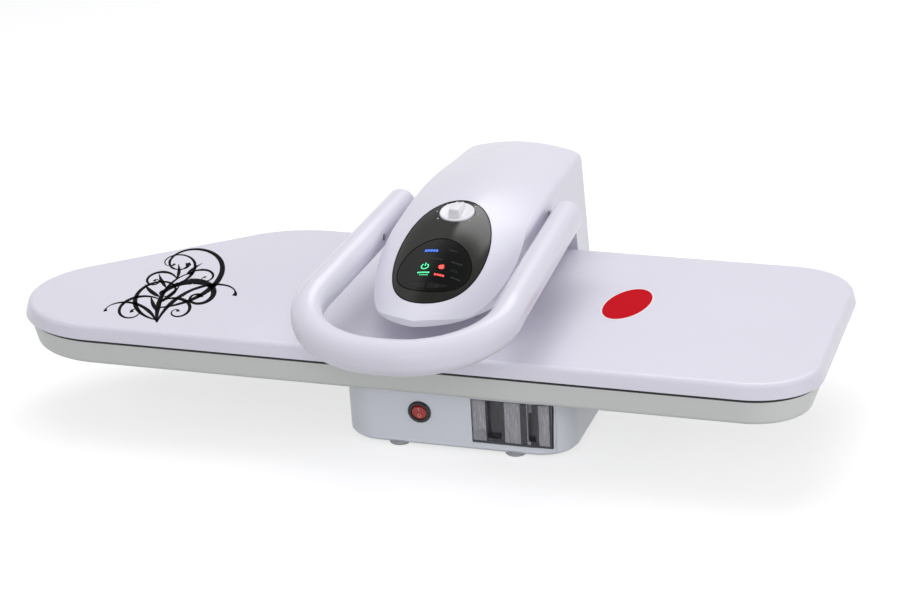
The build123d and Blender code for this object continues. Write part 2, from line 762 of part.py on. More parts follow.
# Press head: plate cover, insulation, steam chamber, element, heated plate
with BuildPart() as head_cover:
    add(board_outline(0, cover_bottom))
    extrude(amount=cover_top - cover_bottom, taper=degrees(atan2(cover_draft, cover_top - cover_bottom)))
    fillet(head_cover.faces().sort_by(Axis.Z)[-1].edges(), cover_edge_radius)
    add(board_slab(cover_draft + cover_wall, cover_bottom - 1, cover_top - cover_wall), mode=Mode.SUBTRACT)
    with Locations((arm_x, (mount_front + mount_rear) / 2, cover_top)):
        Box(2 * mount_half - 16, mount_rear - mount_front - 8, 20, mode=Mode.SUBTRACT)
head_cover.part.label = "head_cover"
export_step(head_cover.part, "parts/head_cover.step")

with BuildPart() as heating_plate:
    add(board_slab(plate_inset, plate_bottom, plate_bottom + plate_thick))
    chamfer(heating_plate.faces().sort_by(Axis.Z)[0].edges(), 1.2)
    with Locations([(x, board_y + y, plate_bottom) for x in steam_hole_x for y in steam_hole_y]):
        Cylinder(steam_hole_radius, plate_thick * 3, mode=Mode.SUBTRACT)
heating_plate.part.label = "heating_plate"
export_step(heating_plate.part, "parts/heating_plate.step")

chamber_low = plate_bottom + plate_thick
with BuildPart() as steam_chamber:
    with Locations((arm_x, board_y, chamber_low)):
        Box(360, 200, chamber_thick, align=(Align.CENTER, Align.CENTER, Align.MIN))
    fillet(steam_chamber.edges().filter_by(Axis.Z), 20)
    with Locations((arm_x, board_y, chamber_low)):
        Box(330, 170, chamber_thick - 2, mode=Mode.SUBTRACT, align=(Align.CENTER, Align.CENTER, Align.MIN))
    with Locations([(arm_x + x, board_y, chamber_low) for x in (-110, -55, 0, 55, 110)]):
        Box(3, 150, chamber_thick - 2, align=(Align.CENTER, Align.CENTER, Align.MIN))
steam_chamber.part.label = "steam_chamber"
export_step(steam_chamber.part, "parts/steam_chamber.step")

with BuildPart() as heating_element:
    with BuildLine(Plane.XY.offset(chamber_low)) as element_path:
        FilletPolyline((250, board_y + 130), (-190, board_y + 130), (-280, board_y + 30),
                       (-280, board_y - 130), (330, board_y - 130), (330, board_y + 60), radius=30)
    with BuildSketch(Plane(origin=element_path.line @ 0, x_dir=(0, -1, 0), z_dir=(-1, 0, 0))):
        Rectangle(element_width, element_height, align=(Align.CENTER, Align.MIN))
    sweep(path=element_path.line)
heating_element.part.label = "heating_element"
export_step(heating_element.part, "parts/heating_element.step")

sheet_low = chamber_low + chamber_thick
with BuildPart() as insulation:
    add(board_slab(cover_draft + cover_wall + 1, sheet_low, cover_top - cover_wall))
    with Locations((arm_x, (mount_front + mount_rear) / 2, sheet_low)):
        Box(2 * mount_half + 2, mount_rear - mount_front + 2, 20, mode=Mode.SUBTRACT)
insulation.part.label = "insulation"
export_step(insulation.part, "parts/insulation.step")

# Dome cover with the panel opening, handle shaft holes and link slot
with BuildPart() as arm_cover:
    add(dome_solid(0, dome_bottom))
    add(dome_cavity(dome_skin), mode=Mode.SUBTRACT)
    add(panel_prism(0), mode=Mode.SUBTRACT)
    add(cross_rod(arm_x - 120, arm_x + 120, handle_pivot, handle_shaft_radius + 1), mode=Mode.SUBTRACT)
    with Locations((arm_x, skirt_front, skirt_bottom)):
        Box(2 * link_slot_half, 30, 2 * (dome_bottom - skirt_bottom) + 20, mode=Mode.SUBTRACT)
arm_cover.part.label = "arm_cover"
export_step(arm_cover.part, "parts/arm_cover.step")

with BuildPart() as arm_underside:
    add(dome_cavity(dome_skin + 0.05))
    with Locations((arm_x, 0, dome_bottom + underside_thick)):
        Box(600, 1200, 200, mode=Mode.SUBTRACT, align=(Align.CENTER, Align.CENTER, Align.MIN))
    with Locations((arm_x, 0, dome_bottom)):
        Box(600, 1200, 200, mode=Mode.SUBTRACT, align=(Align.CENTER, Align.CENTER, Align.MAX))
    with Locations((arm_x, underside_rear, 0)):
        Box(600, 600, 600, mode=Mode.SUBTRACT, align=(Align.CENTER, Align.MIN, Align.CENTER))
    with Locations((arm_x, (mount_front + mount_rear) / 2, dome_bottom)):
        Box(2 * mount_half - 16, mount_rear - mount_front - 8, 20, mode=Mode.SUBTRACT)
    post_low = dome_bottom + underside_thick - 0.5
    post_top = circuit_z + (post_y - post_radius - circuit_y) * tan(radians(circuit_tilt)) - post_gap
    with Locations([(arm_x - post_x, post_y, post_low), (arm_x + post_x, post_y, post_low)]):
        Cylinder(post_radius, post_top - post_low, align=(Align.CENTER, Align.CENTER, Align.MIN))
arm_underside.part.label = "arm_underside"
export_step(arm_underside.part, "parts/arm_underside.step")

with BuildPart() as arm_neck:
    with BuildSketch(Plane.XY.offset(cover_top)):
        with Locations((arm_x, (neck_front + neck_rear) / 2)):
            RectangleRounded(2 * neck_half, neck_rear - neck_front, neck_corner)
            RectangleRounded(2 * (neck_half - neck_wall), neck_rear - neck_front - 2 * neck_wall,
                             neck_corner - neck_wall, mode=Mode.SUBTRACT)
    extrude(amount=dome_bottom - cover_top)
arm_neck.part.label = "arm_neck"
export_step(arm_neck.part, "parts/arm_neck.step")

# Steel arm: two cheeks from the hinge eyes over the board to the mounting plate
with BuildPart() as arm_frame:
    for side in (-1, 1):
        low = arm_x + side * cheek_offset - cheek_thick / 2
        add(chain_profile(side_plane(low), cheek_chain, cheek_thick))
        with BuildSketch(side_plane(low)):
            Polygon((mount_front + 8, sheet_low + mount_thick), (mount_rear - 8, sheet_low + mount_thick),
                    (mount_rear - 20, 178), (mount_front + 20, 178), align=None)
            with Locations(handle_pivot):
                Circle(15)
        extrude(amount=cheek_thick)
    with Locations((arm_x, (mount_front + mount_rear) / 2, sheet_low)):
        Box(2 * mount_half, mount_rear - mount_front, mount_thick, align=(Align.CENTER, Align.CENTER, Align.MIN))
    for spot in tie_spots:
        add(cross_rod(arm_x - cheek_offset, arm_x + cheek_offset, spot, tie_radius))
    add(cross_rod(arm_x - 60, arm_x + 60, hinge, hinge_shaft_radius + running_gap), mode=Mode.SUBTRACT)
    add(cross_rod(arm_x - 60, arm_x + 60, handle_pivot, bush_radius), mode=Mode.SUBTRACT)
arm_frame.part.label = "arm_frame"
export_step(arm_frame.part, "parts/arm_frame.step")

with BuildPart() as handle_bushes:
    for side in (-1, 1):
        inner = side * (cheek_offset - cheek_thick / 2)
        outer = side * (cheek_offset + cheek_thick / 2)
        add(cross_rod(arm_x + min(inner, outer), arm_x + max(inner, outer), handle_pivot, bush_radius))
        flange = sorted([outer, outer + side * 2])
        add(cross_rod(arm_x + flange[0], arm_x + flange[1], handle_pivot, bush_radius + 2))
    add(cross_rod(arm_x - 60, arm_x + 60, handle_pivot, handle_shaft_radius + running_gap), mode=Mode.SUBTRACT)
handle_bushes.part.label = "handle_bushes"
export_step(handle_bushes.part, "parts/handle_bushes.step")

# Control panel set in the dome, display window, keys, board and thermostat
knob_plane = Plane(origin=(arm_x, knob_y, knob_seat_z), x_dir=(1, 0, 0),
                   z_dir=(0, -sin(radians(knob_tilt)), cos(radians(knob_tilt))))
key_plane = Plane(origin=(arm_x, key_y, key_z), x_dir=(1, 0, 0),
                  z_dir=(0, -sin(radians(key_tilt)), cos(radians(key_tilt))))


def key_prism(side, grow):
    with BuildPart() as prism:
        with BuildSketch(key_plane.offset(-20)):
            Circle(key_reach + grow)
            with Locations((0, key_cut + grow)):
                Rectangle(200, 200, mode=Mode.SUBTRACT, align=(Align.CENTER, Align.MIN))
            with Locations((side * (key_split - grow), 0)):
                Rectangle(200, 200, mode=Mode.SUBTRACT, align=(Align.MAX if side > 0 else Align.MIN, Align.CENTER))
        extrude(amount=40)
    return prism.part


outer_dome = dome_solid(0, dome_bottom)
with BuildPart() as control_panel:
    add(outer_dome)
    add(panel_prism(-panel_gap), mode=Mode.INTERSECT)
    with BuildPart(mode=Mode.PRIVATE) as panel_flange:
        add(dome_cavity(dome_skin + 0.05))
        add(panel_prism(3), mode=Mode.INTERSECT)
    add(panel_flange.part)
    add(dome_cavity(panel_thick), mode=Mode.SUBTRACT)
    with BuildPart(mode=Mode.PRIVATE) as display_recess:
        add(disc_prism(0))
        add(dome_cavity(window_thick), mode=Mode.SUBTRACT)
    add(display_recess.part, mode=Mode.SUBTRACT)
    add(key_prism(-1, key_gap), mode=Mode.SUBTRACT)
    add(key_prism(1, key_gap), mode=Mode.SUBTRACT)
    with BuildSketch(knob_plane):
        Circle(knob_radius + 0.6)
    extrude(amount=20, mode=Mode.SUBTRACT)
    with BuildSketch(knob_plane.offset(-20)):
        Circle(knob_stem_radius + running_gap)
    extrude(amount=40, mode=Mode.SUBTRACT)
control_panel.part.label = "control_panel"
export_step(control_panel.part, "parts/control_panel.step")

with BuildPart() as display_window:
    add(outer_dome)
    add(disc_prism(-0.1), mode=Mode.INTERSECT)
    add(dome_cavity(window_thick), mode=Mode.SUBTRACT)
    add(key_prism(-1, key_gap), mode=Mode.SUBTRACT)
    add(key_prism(1, key_gap), mode=Mode.SUBTRACT)
display_window.part.label = "display_window"
export_step(display_window.part, "parts/display_window.step")

for side, name in ((-1, "left_key"), (1, "right_key")):
    with BuildPart() as key:
        add(outer_dome)
        add(key_prism(side, 0), mode=Mode.INTERSECT)
        add(dome_cavity(key_thick), mode=Mode.SUBTRACT)
    key.part.label = name
    export_step(key.part, "parts/" + name + ".step")

with BuildPart() as temperature_knob:
    with BuildSketch(knob_plane.offset(knob_lift)):
        Circle(knob_radius)
    extrude(amount=knob_disc)
    chamfer(temperature_knob.faces().sort_by(Axis.Z)[-1].edges(), 1.2)
    with BuildSketch(knob_plane.offset(knob_lift + knob_disc)):
        SlotOverall(2 * knob_radius - 5, grip_width, rotation=90)
    extrude(amount=grip_height)
    chamfer(temperature_knob.faces().sort_by(Axis.Z)[-1].edges(), 1.2)
    with BuildSketch(knob_plane.offset(knob_lift)):
        Circle(knob_stem_radius)
    extrude(amount=-stem_length)
temperature_knob.part.label = "temperature_knob"
export_step(temperature_knob.part, "parts/temperature_knob.step")

thermostat_plane = knob_plane.offset(knob_lift - stem_length + 3)
with BuildPart() as thermostat:
    with BuildSketch(thermostat_plane):
        Rectangle(26, 22)
        Circle(knob_stem_radius + running_gap, mode=Mode.SUBTRACT)
    extrude(amount=-9)
    with BuildSketch(thermostat_plane.offset(-9)):
        Rectangle(26, 22)
    extrude(amount=-3)
thermostat.part.label = "thermostat"
export_step(thermostat.part, "parts/thermostat.step")

circuit_plane = Plane(origin=(arm_x, circuit_y, circuit_z), x_dir=(1, 0, 0),
                      z_dir=(0, -sin(radians(circuit_tilt)), cos(radians(circuit_tilt))))
with BuildPart() as control_board:
    with BuildSketch(circuit_plane):
        Rectangle(circuit_width, circuit_length)
    extrude(amount=circuit_thick)
    with BuildSketch(circuit_plane.offset(circuit_thick)):
        with GridLocations(12, 12, 3, 3):
            Rectangle(5, 3)
    extrude(amount=1.4)
control_board.part.label = "control_board"
export_step(control_board.part, "parts/control_board.step")

# Handle loop in two mouldings on a cranked shaft
front_plane = Plane(origin=(arm_x, loop_front[0], loop_front[1]), x_dir=(1, 0, 0),
                    z_dir=(0, -sin(radians(loop_tilt)), cos(radians(loop_tilt))))
with BuildPart() as loop_guide:
    with BuildLine(front_plane) as front_half:
        Line((0, 0), (loop_flat, 0))
        JernArc(start=(loop_flat, 0), tangent=(1, 0), radius=loop_radius, arc_size=loop_turn)
leg_start = front_half.line @ 1
leg_way = front_half.line % 1
rise = degrees(asin(leg_way.Z))
flat_way = Vector(leg_way.X, leg_way.Y, 0).normalized()
leg_plane = Plane(origin=leg_start, x_dir=flat_way, z_dir=flat_way.cross(Vector(0, 0, 1)))
with BuildPart() as leg_guide:
    with BuildLine(leg_plane) as leg:
        bend = JernArc(start=(0, 0), tangent=(cos(radians(rise)), sin(radians(rise))), radius=leg_bend_radius,
                       arc_size=leg_rise - rise)
        bend_end = leg_plane.to_local_coords(bend @ 1)
        run = (loop_rear - (bend @ 1).Y) / (flat_way.Y * cos(radians(leg_rise)))
        Line((bend_end.X, bend_end.Y),
             (bend_end.X + run * cos(radians(leg_rise)), bend_end.Y + run * sin(radians(leg_rise))))
loop_path = Wire(front_half.edges() + leg.edges())


def bar_section(plane, side):
    with BuildSketch(plane) as section:
        SlotOverall(2 * bar_half_height, 2 * bar_half_width, rotation=90)
        with Locations((0, -parting_drop)):
            Rectangle(100, 100, mode=Mode.INTERSECT, align=(Align.CENTER, Align.MIN if side > 0 else Align.MAX))
    return section.sketch


def half_bar(side):
    with BuildPart() as bar:
        add(bar_section(Plane(origin=front_plane.origin, x_dir=front_plane.y_dir, z_dir=(1, 0, 0)), side))
        sweep(path=loop_path)
        end_face = bar.faces().filter_by(GeomType.PLANE).sort_by(Axis.Y)[-1]
        parting = end_face.edges().filter_by(GeomType.LINE).sort_by(SortBy.LENGTH)[-1]
        fillet([e for e in end_face.edges() if not e.is_same(parting)], end_radius)
        mirror(about=Plane(origin=(arm_x, 0, 0), z_dir=(1, 0, 0)))
        add(cross_rod(arm_x - shaft_reach, arm_x + shaft_reach, handle_pivot, handle_shaft_radius), mode=Mode.SUBTRACT)
    return bar.part


with BuildPart() as handle_lower:
    add(half_bar(-1))
handle_lower.part.label = "handle_lower"
export_step(handle_lower.part, "parts/handle_lower.step")

with BuildPart() as handle_upper:
    add(half_bar(1))
handle_upper.part.label = "handle_upper"
export_step(handle_upper.part, "parts/handle_upper.step")

with BuildPart() as handle_shaft:
    add(cross_rod(arm_x - shaft_reach, arm_x + shaft_reach, handle_pivot, handle_shaft_radius))
    for side in (-1, 1):
        low = arm_x + side * 8.5 - 2.5
        with BuildSketch(side_plane(low)) as lever:
            with Locations(handle_pivot):
                Circle(11)
            with Locations(link_crank):
                Circle(6.5)
            make_hull()
        extrude(amount=5)
    add(cross_rod(arm_x - 11, arm_x + 11, link_crank, crank_pin_radius))
handle_shaft.part.label = "handle_shaft"
export_step(handle_shaft.part, "parts/handle_shaft.step")

# Toggle link from the base pin to the crank pin
with BuildPart() as toggle_link:
    link_chain = [(link_base, 9), (link_elbow_low, 6), (link_elbow_high, 6), (link_hook, 5), (link_crank, 7.5)]
    add(chain_profile(side_plane(arm_x - link_half), link_chain, 2 * link_half))
    add(cross_rod(arm_x - 20, arm_x + 20, link_base, link_pin_radius + running_gap), mode=Mode.SUBTRACT)
    add(cross_rod(arm_x - 20, arm_x + 20, link_crank, crank_pin_radius + open_pivot_gap), mode=Mode.SUBTRACT)
toggle_link.part.label = "toggle_link"
export_step(toggle_link.part, "parts/toggle_link.step")
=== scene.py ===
import math
import bmesh
import bpy
from mathutils import Matrix, Vector, kdtree, noise
from mathutils.bvhtree import BVHTree


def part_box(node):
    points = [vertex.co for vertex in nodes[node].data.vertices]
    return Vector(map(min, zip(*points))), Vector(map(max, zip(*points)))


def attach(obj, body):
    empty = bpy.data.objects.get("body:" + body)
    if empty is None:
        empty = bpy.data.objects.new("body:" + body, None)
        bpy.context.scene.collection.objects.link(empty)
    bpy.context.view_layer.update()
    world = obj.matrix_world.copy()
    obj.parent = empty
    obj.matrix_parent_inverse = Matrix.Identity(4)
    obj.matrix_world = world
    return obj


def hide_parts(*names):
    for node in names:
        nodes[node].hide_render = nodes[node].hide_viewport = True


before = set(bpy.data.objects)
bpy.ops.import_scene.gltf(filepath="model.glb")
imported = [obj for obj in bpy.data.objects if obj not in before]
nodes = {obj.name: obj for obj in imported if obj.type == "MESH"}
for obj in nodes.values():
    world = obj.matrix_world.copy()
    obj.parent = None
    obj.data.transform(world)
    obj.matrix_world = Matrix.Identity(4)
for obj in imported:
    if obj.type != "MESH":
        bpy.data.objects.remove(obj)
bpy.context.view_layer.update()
print("frame loaded:", len(nodes), "parts")

# Stage: floor, world, lamps and camera

stageLook = {
    "floorHalf": 8.0,
    "floorColour": (0.42, 0.42, 0.43),
    "floorLift": 0.68,
    "worldColour": (0.97, 0.98, 1.0),
    "worldStrength": 0.42,
    "backdropStrength": 1.0,
    "gloss": [(0.0, 0.85), (0.3, 0.6), (0.55, 0.35), (0.8, 0.5), (0.9, 0.1), (1.0, 0.03)],
}
lampLook = {
    "top": {"place": (-0.3, 0.3, 2.2), "aim": (0.0, 0.0, 0.1), "size": 1.6, "power": 18, "gloss": False},
    "front": {"place": (0.4, -2.5, 1.25), "aim": (0.1, 0.0, 0.1), "size": 1.3, "power": 17, "gloss": False},
    "low": {"place": (0.3, -2.3, 0.3), "aim": (0.1, 0.0, 0.06), "size": 0.8, "power": 3, "gloss": False},
    "right": {"place": (2.6, -0.5, 0.9), "aim": (0.1, 0.0, 0.1), "size": 1.2, "power": 16, "gloss": False},
    "left": {"place": (-2.0, -1.0, 1.6), "aim": (0.0, 0.0, 0.15), "size": 1.2, "power": 3, "gloss": False},
    "rear": {"place": (0.25, 1.7, 2.0), "aim": (0.03, 0.0, 0.2), "size": 1.3, "power": 13, "gloss": True},
}
cameraLook = {
    "azimuth": 17.148,
    "elevation": 20.001,
    "roll": 1.291,
    "distance": 2.7294,
    "aim": (0.0, 0.028, 0.125),
    "focalPixels": 2562.5,
    "imageWidth": 900,
    "axisPixels": (-14.88, -5.97),
}


def mathNode(tree, kind, first, second):
    # each side is a number or another node's output
    node = tree.nodes.new("ShaderNodeMath")
    node.operation = kind
    for socket, value in zip(node.inputs, (first, second)):
        if isinstance(value, float):
            socket.default_value = value
        else:
            tree.links.new(value, socket)
    return node.outputs[0]


def seenRays(tree):
    # camera, glossy and transmission rays see the white backdrop
    rays = tree.nodes.new("ShaderNodeLightPath").outputs
    first = mathNode(tree, "MAXIMUM", rays["Is Camera Ray"], rays["Is Glossy Ray"])
    return mathNode(tree, "MAXIMUM", first, rays["Is Transmission Ray"])


def makeWorld():
    world = bpy.data.worlds.new("studio")
    bpy.context.scene.world = world
    world.use_nodes = True
    tree = world.node_tree
    tree.nodes.clear()
    out = tree.nodes.new("ShaderNodeOutputWorld")
    soft = tree.nodes.new("ShaderNodeBackground")
    soft.inputs["Color"].default_value = (*stageLook["worldColour"], 1)
    soft.inputs["Strength"].default_value = stageLook["worldStrength"]
    white = tree.nodes.new("ShaderNodeBackground")
    white.inputs["Color"].default_value = (1, 1, 1, 1)
    white.inputs["Strength"].default_value = stageLook["backdropStrength"]
    # reflections see a white room that is darker overhead
    coords = tree.nodes.new("ShaderNodeTexCoord")
    split = tree.nodes.new("ShaderNodeSeparateXYZ")
    ramp = tree.nodes.new("ShaderNodeValToRGB")
    stops = ramp.color_ramp.elements
    for height, level in stageLook["gloss"]:
        stop = stops[0] if height == 0 else stops[-1] if height == 1 else stops.new(height)
        stop.color = (level, level, level, 1)
    room = tree.nodes.new("ShaderNodeBackground")
    tree.links.new(coords.outputs["Generated"], split.inputs[0])
    tree.links.new(split.outputs["Z"], ramp.inputs["Fac"])
    tree.links.new(ramp.outputs["Color"], room.inputs["Color"])
    glossy = tree.nodes.new("ShaderNodeMixShader")
    mix = tree.nodes.new("ShaderNodeMixShader")
    light = tree.nodes.new("ShaderNodeLightPath")
    tree.links.new(light.outputs["Is Glossy Ray"], glossy.inputs["Fac"])
    tree.links.new(white.outputs[0], glossy.inputs[1])
    tree.links.new(room.outputs[0], glossy.inputs[2])
    tree.links.new(seenRays(tree), mix.inputs["Fac"])
    tree.links.new(soft.outputs[0], mix.inputs[1])
    tree.links.new(glossy.outputs[0], mix.inputs[2])
    tree.links.new(mix.outputs[0], out.inputs["Surface"])


def makeFloor():
    bm = bmesh.new()
    bmesh.ops.create_grid(bm, x_segments=1, y_segments=1, size=stageLook["floorHalf"])
    mesh = bpy.data.meshes.new("floor")
    bm.to_mesh(mesh)
    bm.free()
    floor = bpy.data.objects.new("floor", mesh)
    bpy.context.scene.collection.objects.link(floor)
    material = bpy.data.materials.new("paleFloor")
    material.use_nodes = True
    tree = material.node_tree
    tree.nodes.clear()
    out = tree.nodes.new("ShaderNodeOutputMaterial")
    matte = tree.nodes.new("ShaderNodeBsdfDiffuse")
    matte.inputs["Color"].default_value = (*stageLook["floorColour"], 1)
    lift = tree.nodes.new("ShaderNodeEmission")
    lift.inputs["Color"].default_value = (1, 1, 1, 1)
    both = tree.nodes.new("ShaderNodeAddShader")
    strength = mathNode(tree, "MULTIPLY", seenRays(tree), stageLook["floorLift"])
    tree.links.new(strength, lift.inputs["Strength"])
    tree.links.new(matte.outputs[0], both.inputs[0])
    tree.links.new(lift.outputs[0], both.inputs[1])
    tree.links.new(both.outputs[0], out.inputs["Surface"])
    mesh.materials.append(material)


def makeLamps():
    for name, look in lampLook.items():
        lamp = bpy.data.lights.new(name, "AREA")
        lamp.shape = "SQUARE"
        lamp.size = look["size"]
        lamp.energy = look["power"]
        holder = bpy.data.objects.new(name, lamp)
        bpy.context.scene.collection.objects.link(holder)
        holder.location = look["place"]
        way = Vector(look["aim"]) - Vector(look["place"])
        holder.rotation_mode = "QUATERNION"
        holder.rotation_quaternion = way.to_track_quat("-Z", "Y")
        holder.visible_glossy = look["gloss"]


def makeCamera():
    a, e, r = (math.radians(cameraLook[k]) for k in ("azimuth", "elevation", "roll"))
    back = Vector((math.sin(a) * math.cos(e), -math.cos(a) * math.cos(e), math.sin(e)))
    level = Vector((math.cos(a), math.sin(a), 0))
    upright = back.cross(level)
    right = level * math.cos(r) - upright * math.sin(r)
    up = level * math.sin(r) + upright * math.cos(r)
    lens = bpy.data.cameras.new("camera")
    lens.sensor_fit = "HORIZONTAL"
    lens.sensor_width = 36
    lens.lens = cameraLook["focalPixels"] * lens.sensor_width / cameraLook["imageWidth"]
    lens.shift_x = -cameraLook["axisPixels"][0] / cameraLook["imageWidth"]
    lens.shift_y = cameraLook["axisPixels"][1] / cameraLook["imageWidth"]
    lens.clip_start = 0.1
    lens.clip_end = 40
    camera = bpy.data.objects.new("camera", lens)
    bpy.context.scene.collection.objects.link(camera)
    turn = Matrix((right, up, back)).transposed().to_4x4()
    place = Matrix.Translation(Vector(cameraLook["aim"]) + back * cameraLook["distance"])
    camera.matrix_world = place @ turn
    bpy.context.scene.camera = camera


bpy.context.scene.view_settings.view_transform = "Standard"
makeWorld()
makeFloor()
makeLamps()
makeCamera()
print("stage set")

# Materials


def newMaterial(name):
    material = bpy.data.materials.new(name)
    material.use_nodes = True
    tree = material.node_tree
    return material, tree, tree.nodes["Principled BSDF"]


def surfacePattern(tree, scale, detail=3.0, stretch=(1, 1, 1)):
    # noise on the piece's own coordinates, in features per metre
    coords = tree.nodes.new("ShaderNodeTexCoord")
    place = tree.nodes.new("ShaderNodeMapping")
    place.inputs["Scale"].default_value = stretch
    clouds = tree.nodes.new("ShaderNodeTexNoise")
    clouds.inputs["Scale"].default_value = scale
    clouds.inputs["Detail"].default_value = detail
    tree.links.new(coords.outputs["Object"], place.inputs["Vector"])
    tree.links.new(place.outputs[0], clouds.inputs["Vector"])
    return clouds.outputs["Fac"]


def spread(tree, factor, low, high, start=0.3, end=0.7):
    change = tree.nodes.new("ShaderNodeMapRange")
    change.inputs["From Min"].default_value = start
    change.inputs["From Max"].default_value = end
    change.inputs["To Min"].default_value = low
    change.inputs["To Max"].default_value = high
    tree.links.new(factor, change.inputs["Value"])
    return change.outputs["Result"]


def tint(tree, factor, dark, light, start=0.3, end=0.7):
    ramp = tree.nodes.new("ShaderNodeValToRGB")
    ramp.color_ramp.elements[0].position = start
    ramp.color_ramp.elements[0].color = (*dark, 1)
    ramp.color_ramp.elements[1].position = end
    ramp.color_ramp.elements[1].color = (*light, 1)
    tree.links.new(factor, ramp.inputs["Fac"])
    return ramp.outputs["Color"]


def relief(tree, shader, height, strength, depth):
    bump = tree.nodes.new("ShaderNodeBump")
    bump.inputs["Strength"].default_value = strength
    bump.inputs["Distance"].default_value = depth
    tree.links.new(height, bump.inputs["Height"])
    tree.links.new(bump.outputs[0], shader.inputs["Normal"])


def blend(tree, factor, under, over, kind="MIX"):
    # each side is a colour or another node's output
    mix = tree.nodes.new("ShaderNodeMix")
    mix.data_type = "RGBA"
    mix.blend_type = kind
    for socket, value in ((mix.inputs["Factor"], factor), (mix.inputs["A"], under), (mix.inputs["B"], over)):
        if isinstance(value, float):
            socket.default_value = value
        elif isinstance(value, tuple):
            socket.default_value = (*value, 1)
        else:
            tree.links.new(value, socket)
    return mix.outputs["Result"]


def objectAxes(tree):
    coords = tree.nodes.new("ShaderNodeTexCoord")
    split = tree.nodes.new("ShaderNodeSeparateXYZ")
    tree.links.new(coords.outputs["Object"], split.inputs[0])
    return split.outputs


def shade(colour, share):
    return tuple(c * share for c in colour)


plasticLooks = {
    "shellWhite": {"colour": (0.75, 0.735, 0.83), "rough": (0.24, 0.27), "grain": 70, "depth": 0.00001},
    "trayGrey": {"colour": (0.7, 0.715, 0.695), "rough": (0.4, 0.46), "grain": 900, "depth": 0.00002},
    "basePlastic": {"colour": (0.86, 0.89, 0.96), "rough": (0.28, 0.32), "grain": 70, "depth": 0.00001},
    "neckPlastic": {"colour": (0.42, 0.42, 0.46), "rough": (0.4, 0.52), "grain": 900, "depth": 0.00003},
    "bushPlastic": {"colour": (0.66, 0.64, 0.58), "rough": (0.35, 0.45), "grain": 900, "depth": 0.00002},
    "panelBlack": {"colour": (0.02, 0.02, 0.018), "rough": (0.14, 0.17), "grain": 80, "depth": 0.000006},
    "windowBlack": {"colour": (0.006, 0.007, 0.006), "rough": (0.07, 0.1), "grain": 80, "depth": 0.000003},
    "keyBlack": {"colour": (0.012, 0.012, 0.012), "rough": (0.16, 0.22), "grain": 500, "depth": 0.000003},
    "knobWhite": {"colour": (0.84, 0.83, 0.87), "rough": (0.24, 0.28), "grain": 90, "depth": 0.000006, "coat": 0.1},
    "switchBlack": {"colour": (0.012, 0.012, 0.012), "rough": (0.24, 0.3), "grain": 900, "depth": 0.000008},
    "rockerRed": {"colour": (0.5, 0.018, 0.015), "rough": (0.18, 0.24), "grain": 600, "depth": 0.000003, "coat": 0.2},
    "tankDark": {"colour": (0.045, 0.045, 0.055), "rough": (0.22, 0.3), "grain": 700, "depth": 0.000008},
    "plugGrey": {"colour": (0.3, 0.3, 0.34), "rough": (0.25, 0.35), "grain": 500, "depth": 0.00001},
    "valveBlack": {"colour": (0.02, 0.02, 0.022), "rough": (0.45, 0.6), "grain": 900, "depth": 0.00004},
    "pumpBlack": {"colour": (0.03, 0.03, 0.034), "rough": (0.4, 0.55), "grain": 900, "depth": 0.00004},
}


def mouldedPlastic(name, look):
    material, tree, shader = newMaterial(name)
    broad = surfacePattern(tree, 7, 2)
    fine = surfacePattern(tree, look["grain"], 2)
    tree.links.new(tint(tree, broad, shade(look["colour"], 0.985), look["colour"]), shader.inputs["Base Color"])
    tree.links.new(spread(tree, surfacePattern(tree, 40, 3), *look["rough"]), shader.inputs["Roughness"])
    relief(tree, shader, fine, 0.5, look["depth"])
    shader.inputs["Coat Weight"].default_value = look.get("coat", 0.0)
    shader.inputs["Coat Roughness"].default_value = 0.12
    return material


# heights and dark colour of the painted shade band on the tray, standing for the shadow in the gap under the head cover
gapShadeLook = {"edge": (0.1053, 0.1055), "ink": (0.008, 0.008, 0.009)}


def trayPlasticWithGapShade():
    # moulded tray with painted shade: a dark band along its upper edge stands for the shadow in the gap under the head
    # cover
    material = mouldedPlastic("trayGrey", plasticLooks["trayGrey"])
    tree = material.node_tree
    shader = tree.nodes["Principled BSDF"]
    edge = spread(tree, objectAxes(tree)["Z"], 0, 1, *gapShadeLook["edge"])
    plain = shader.inputs["Base Color"].links[0].from_socket
    tree.links.new(blend(tree, edge, plain, gapShadeLook["ink"]), shader.inputs["Base Color"])
    return material


metalLooks = {
    "sheetSteel": {"colour": (0.52, 0.53, 0.54), "rough": (0.35, 0.5), "grain": 300, "depth": 0.00005, "metal": 0.9},
    "frameSteel": {"colour": (0.075, 0.078, 0.085), "rough": (0.4, 0.55), "grain": 600, "depth": 0.00006,
                   "metal": 0.3},
    "shaftSteel": {"colour": (0.55, 0.55, 0.56), "rough": (0.2, 0.32), "stretch": (12, 1, 1), "grain": 160,
                   "depth": 0.00001},
    "springSteel": {"colour": (0.4, 0.4, 0.42), "rough": (0.25, 0.38), "grain": 500, "depth": 0.00001},
    "screwSteel": {"colour": (0.5, 0.5, 0.51), "rough": (0.28, 0.4), "grain": 500, "depth": 0.00002},
    "plateAluminium": {"colour": (0.66, 0.66, 0.67), "rough": (0.3, 0.42), "stretch": (0.15, 4, 1), "grain": 260,
                       "depth": 0.00003},
    "chamberAluminium": {"colour": (0.5, 0.5, 0.51), "rough": (0.5, 0.65), "grain": 220, "depth": 0.0002,
                         "metal": 0.9},
    "elementSteel": {"colour": (0.2, 0.18, 0.16), "rough": (0.45, 0.6), "grain": 90, "depth": 0.00005, "metal": 0.8},
    "thermostatSteel": {"colour": (0.55, 0.54, 0.5), "rough": (0.3, 0.45), "stretch": (1, 6, 1), "grain": 300,
                        "depth": 0.00002},
}


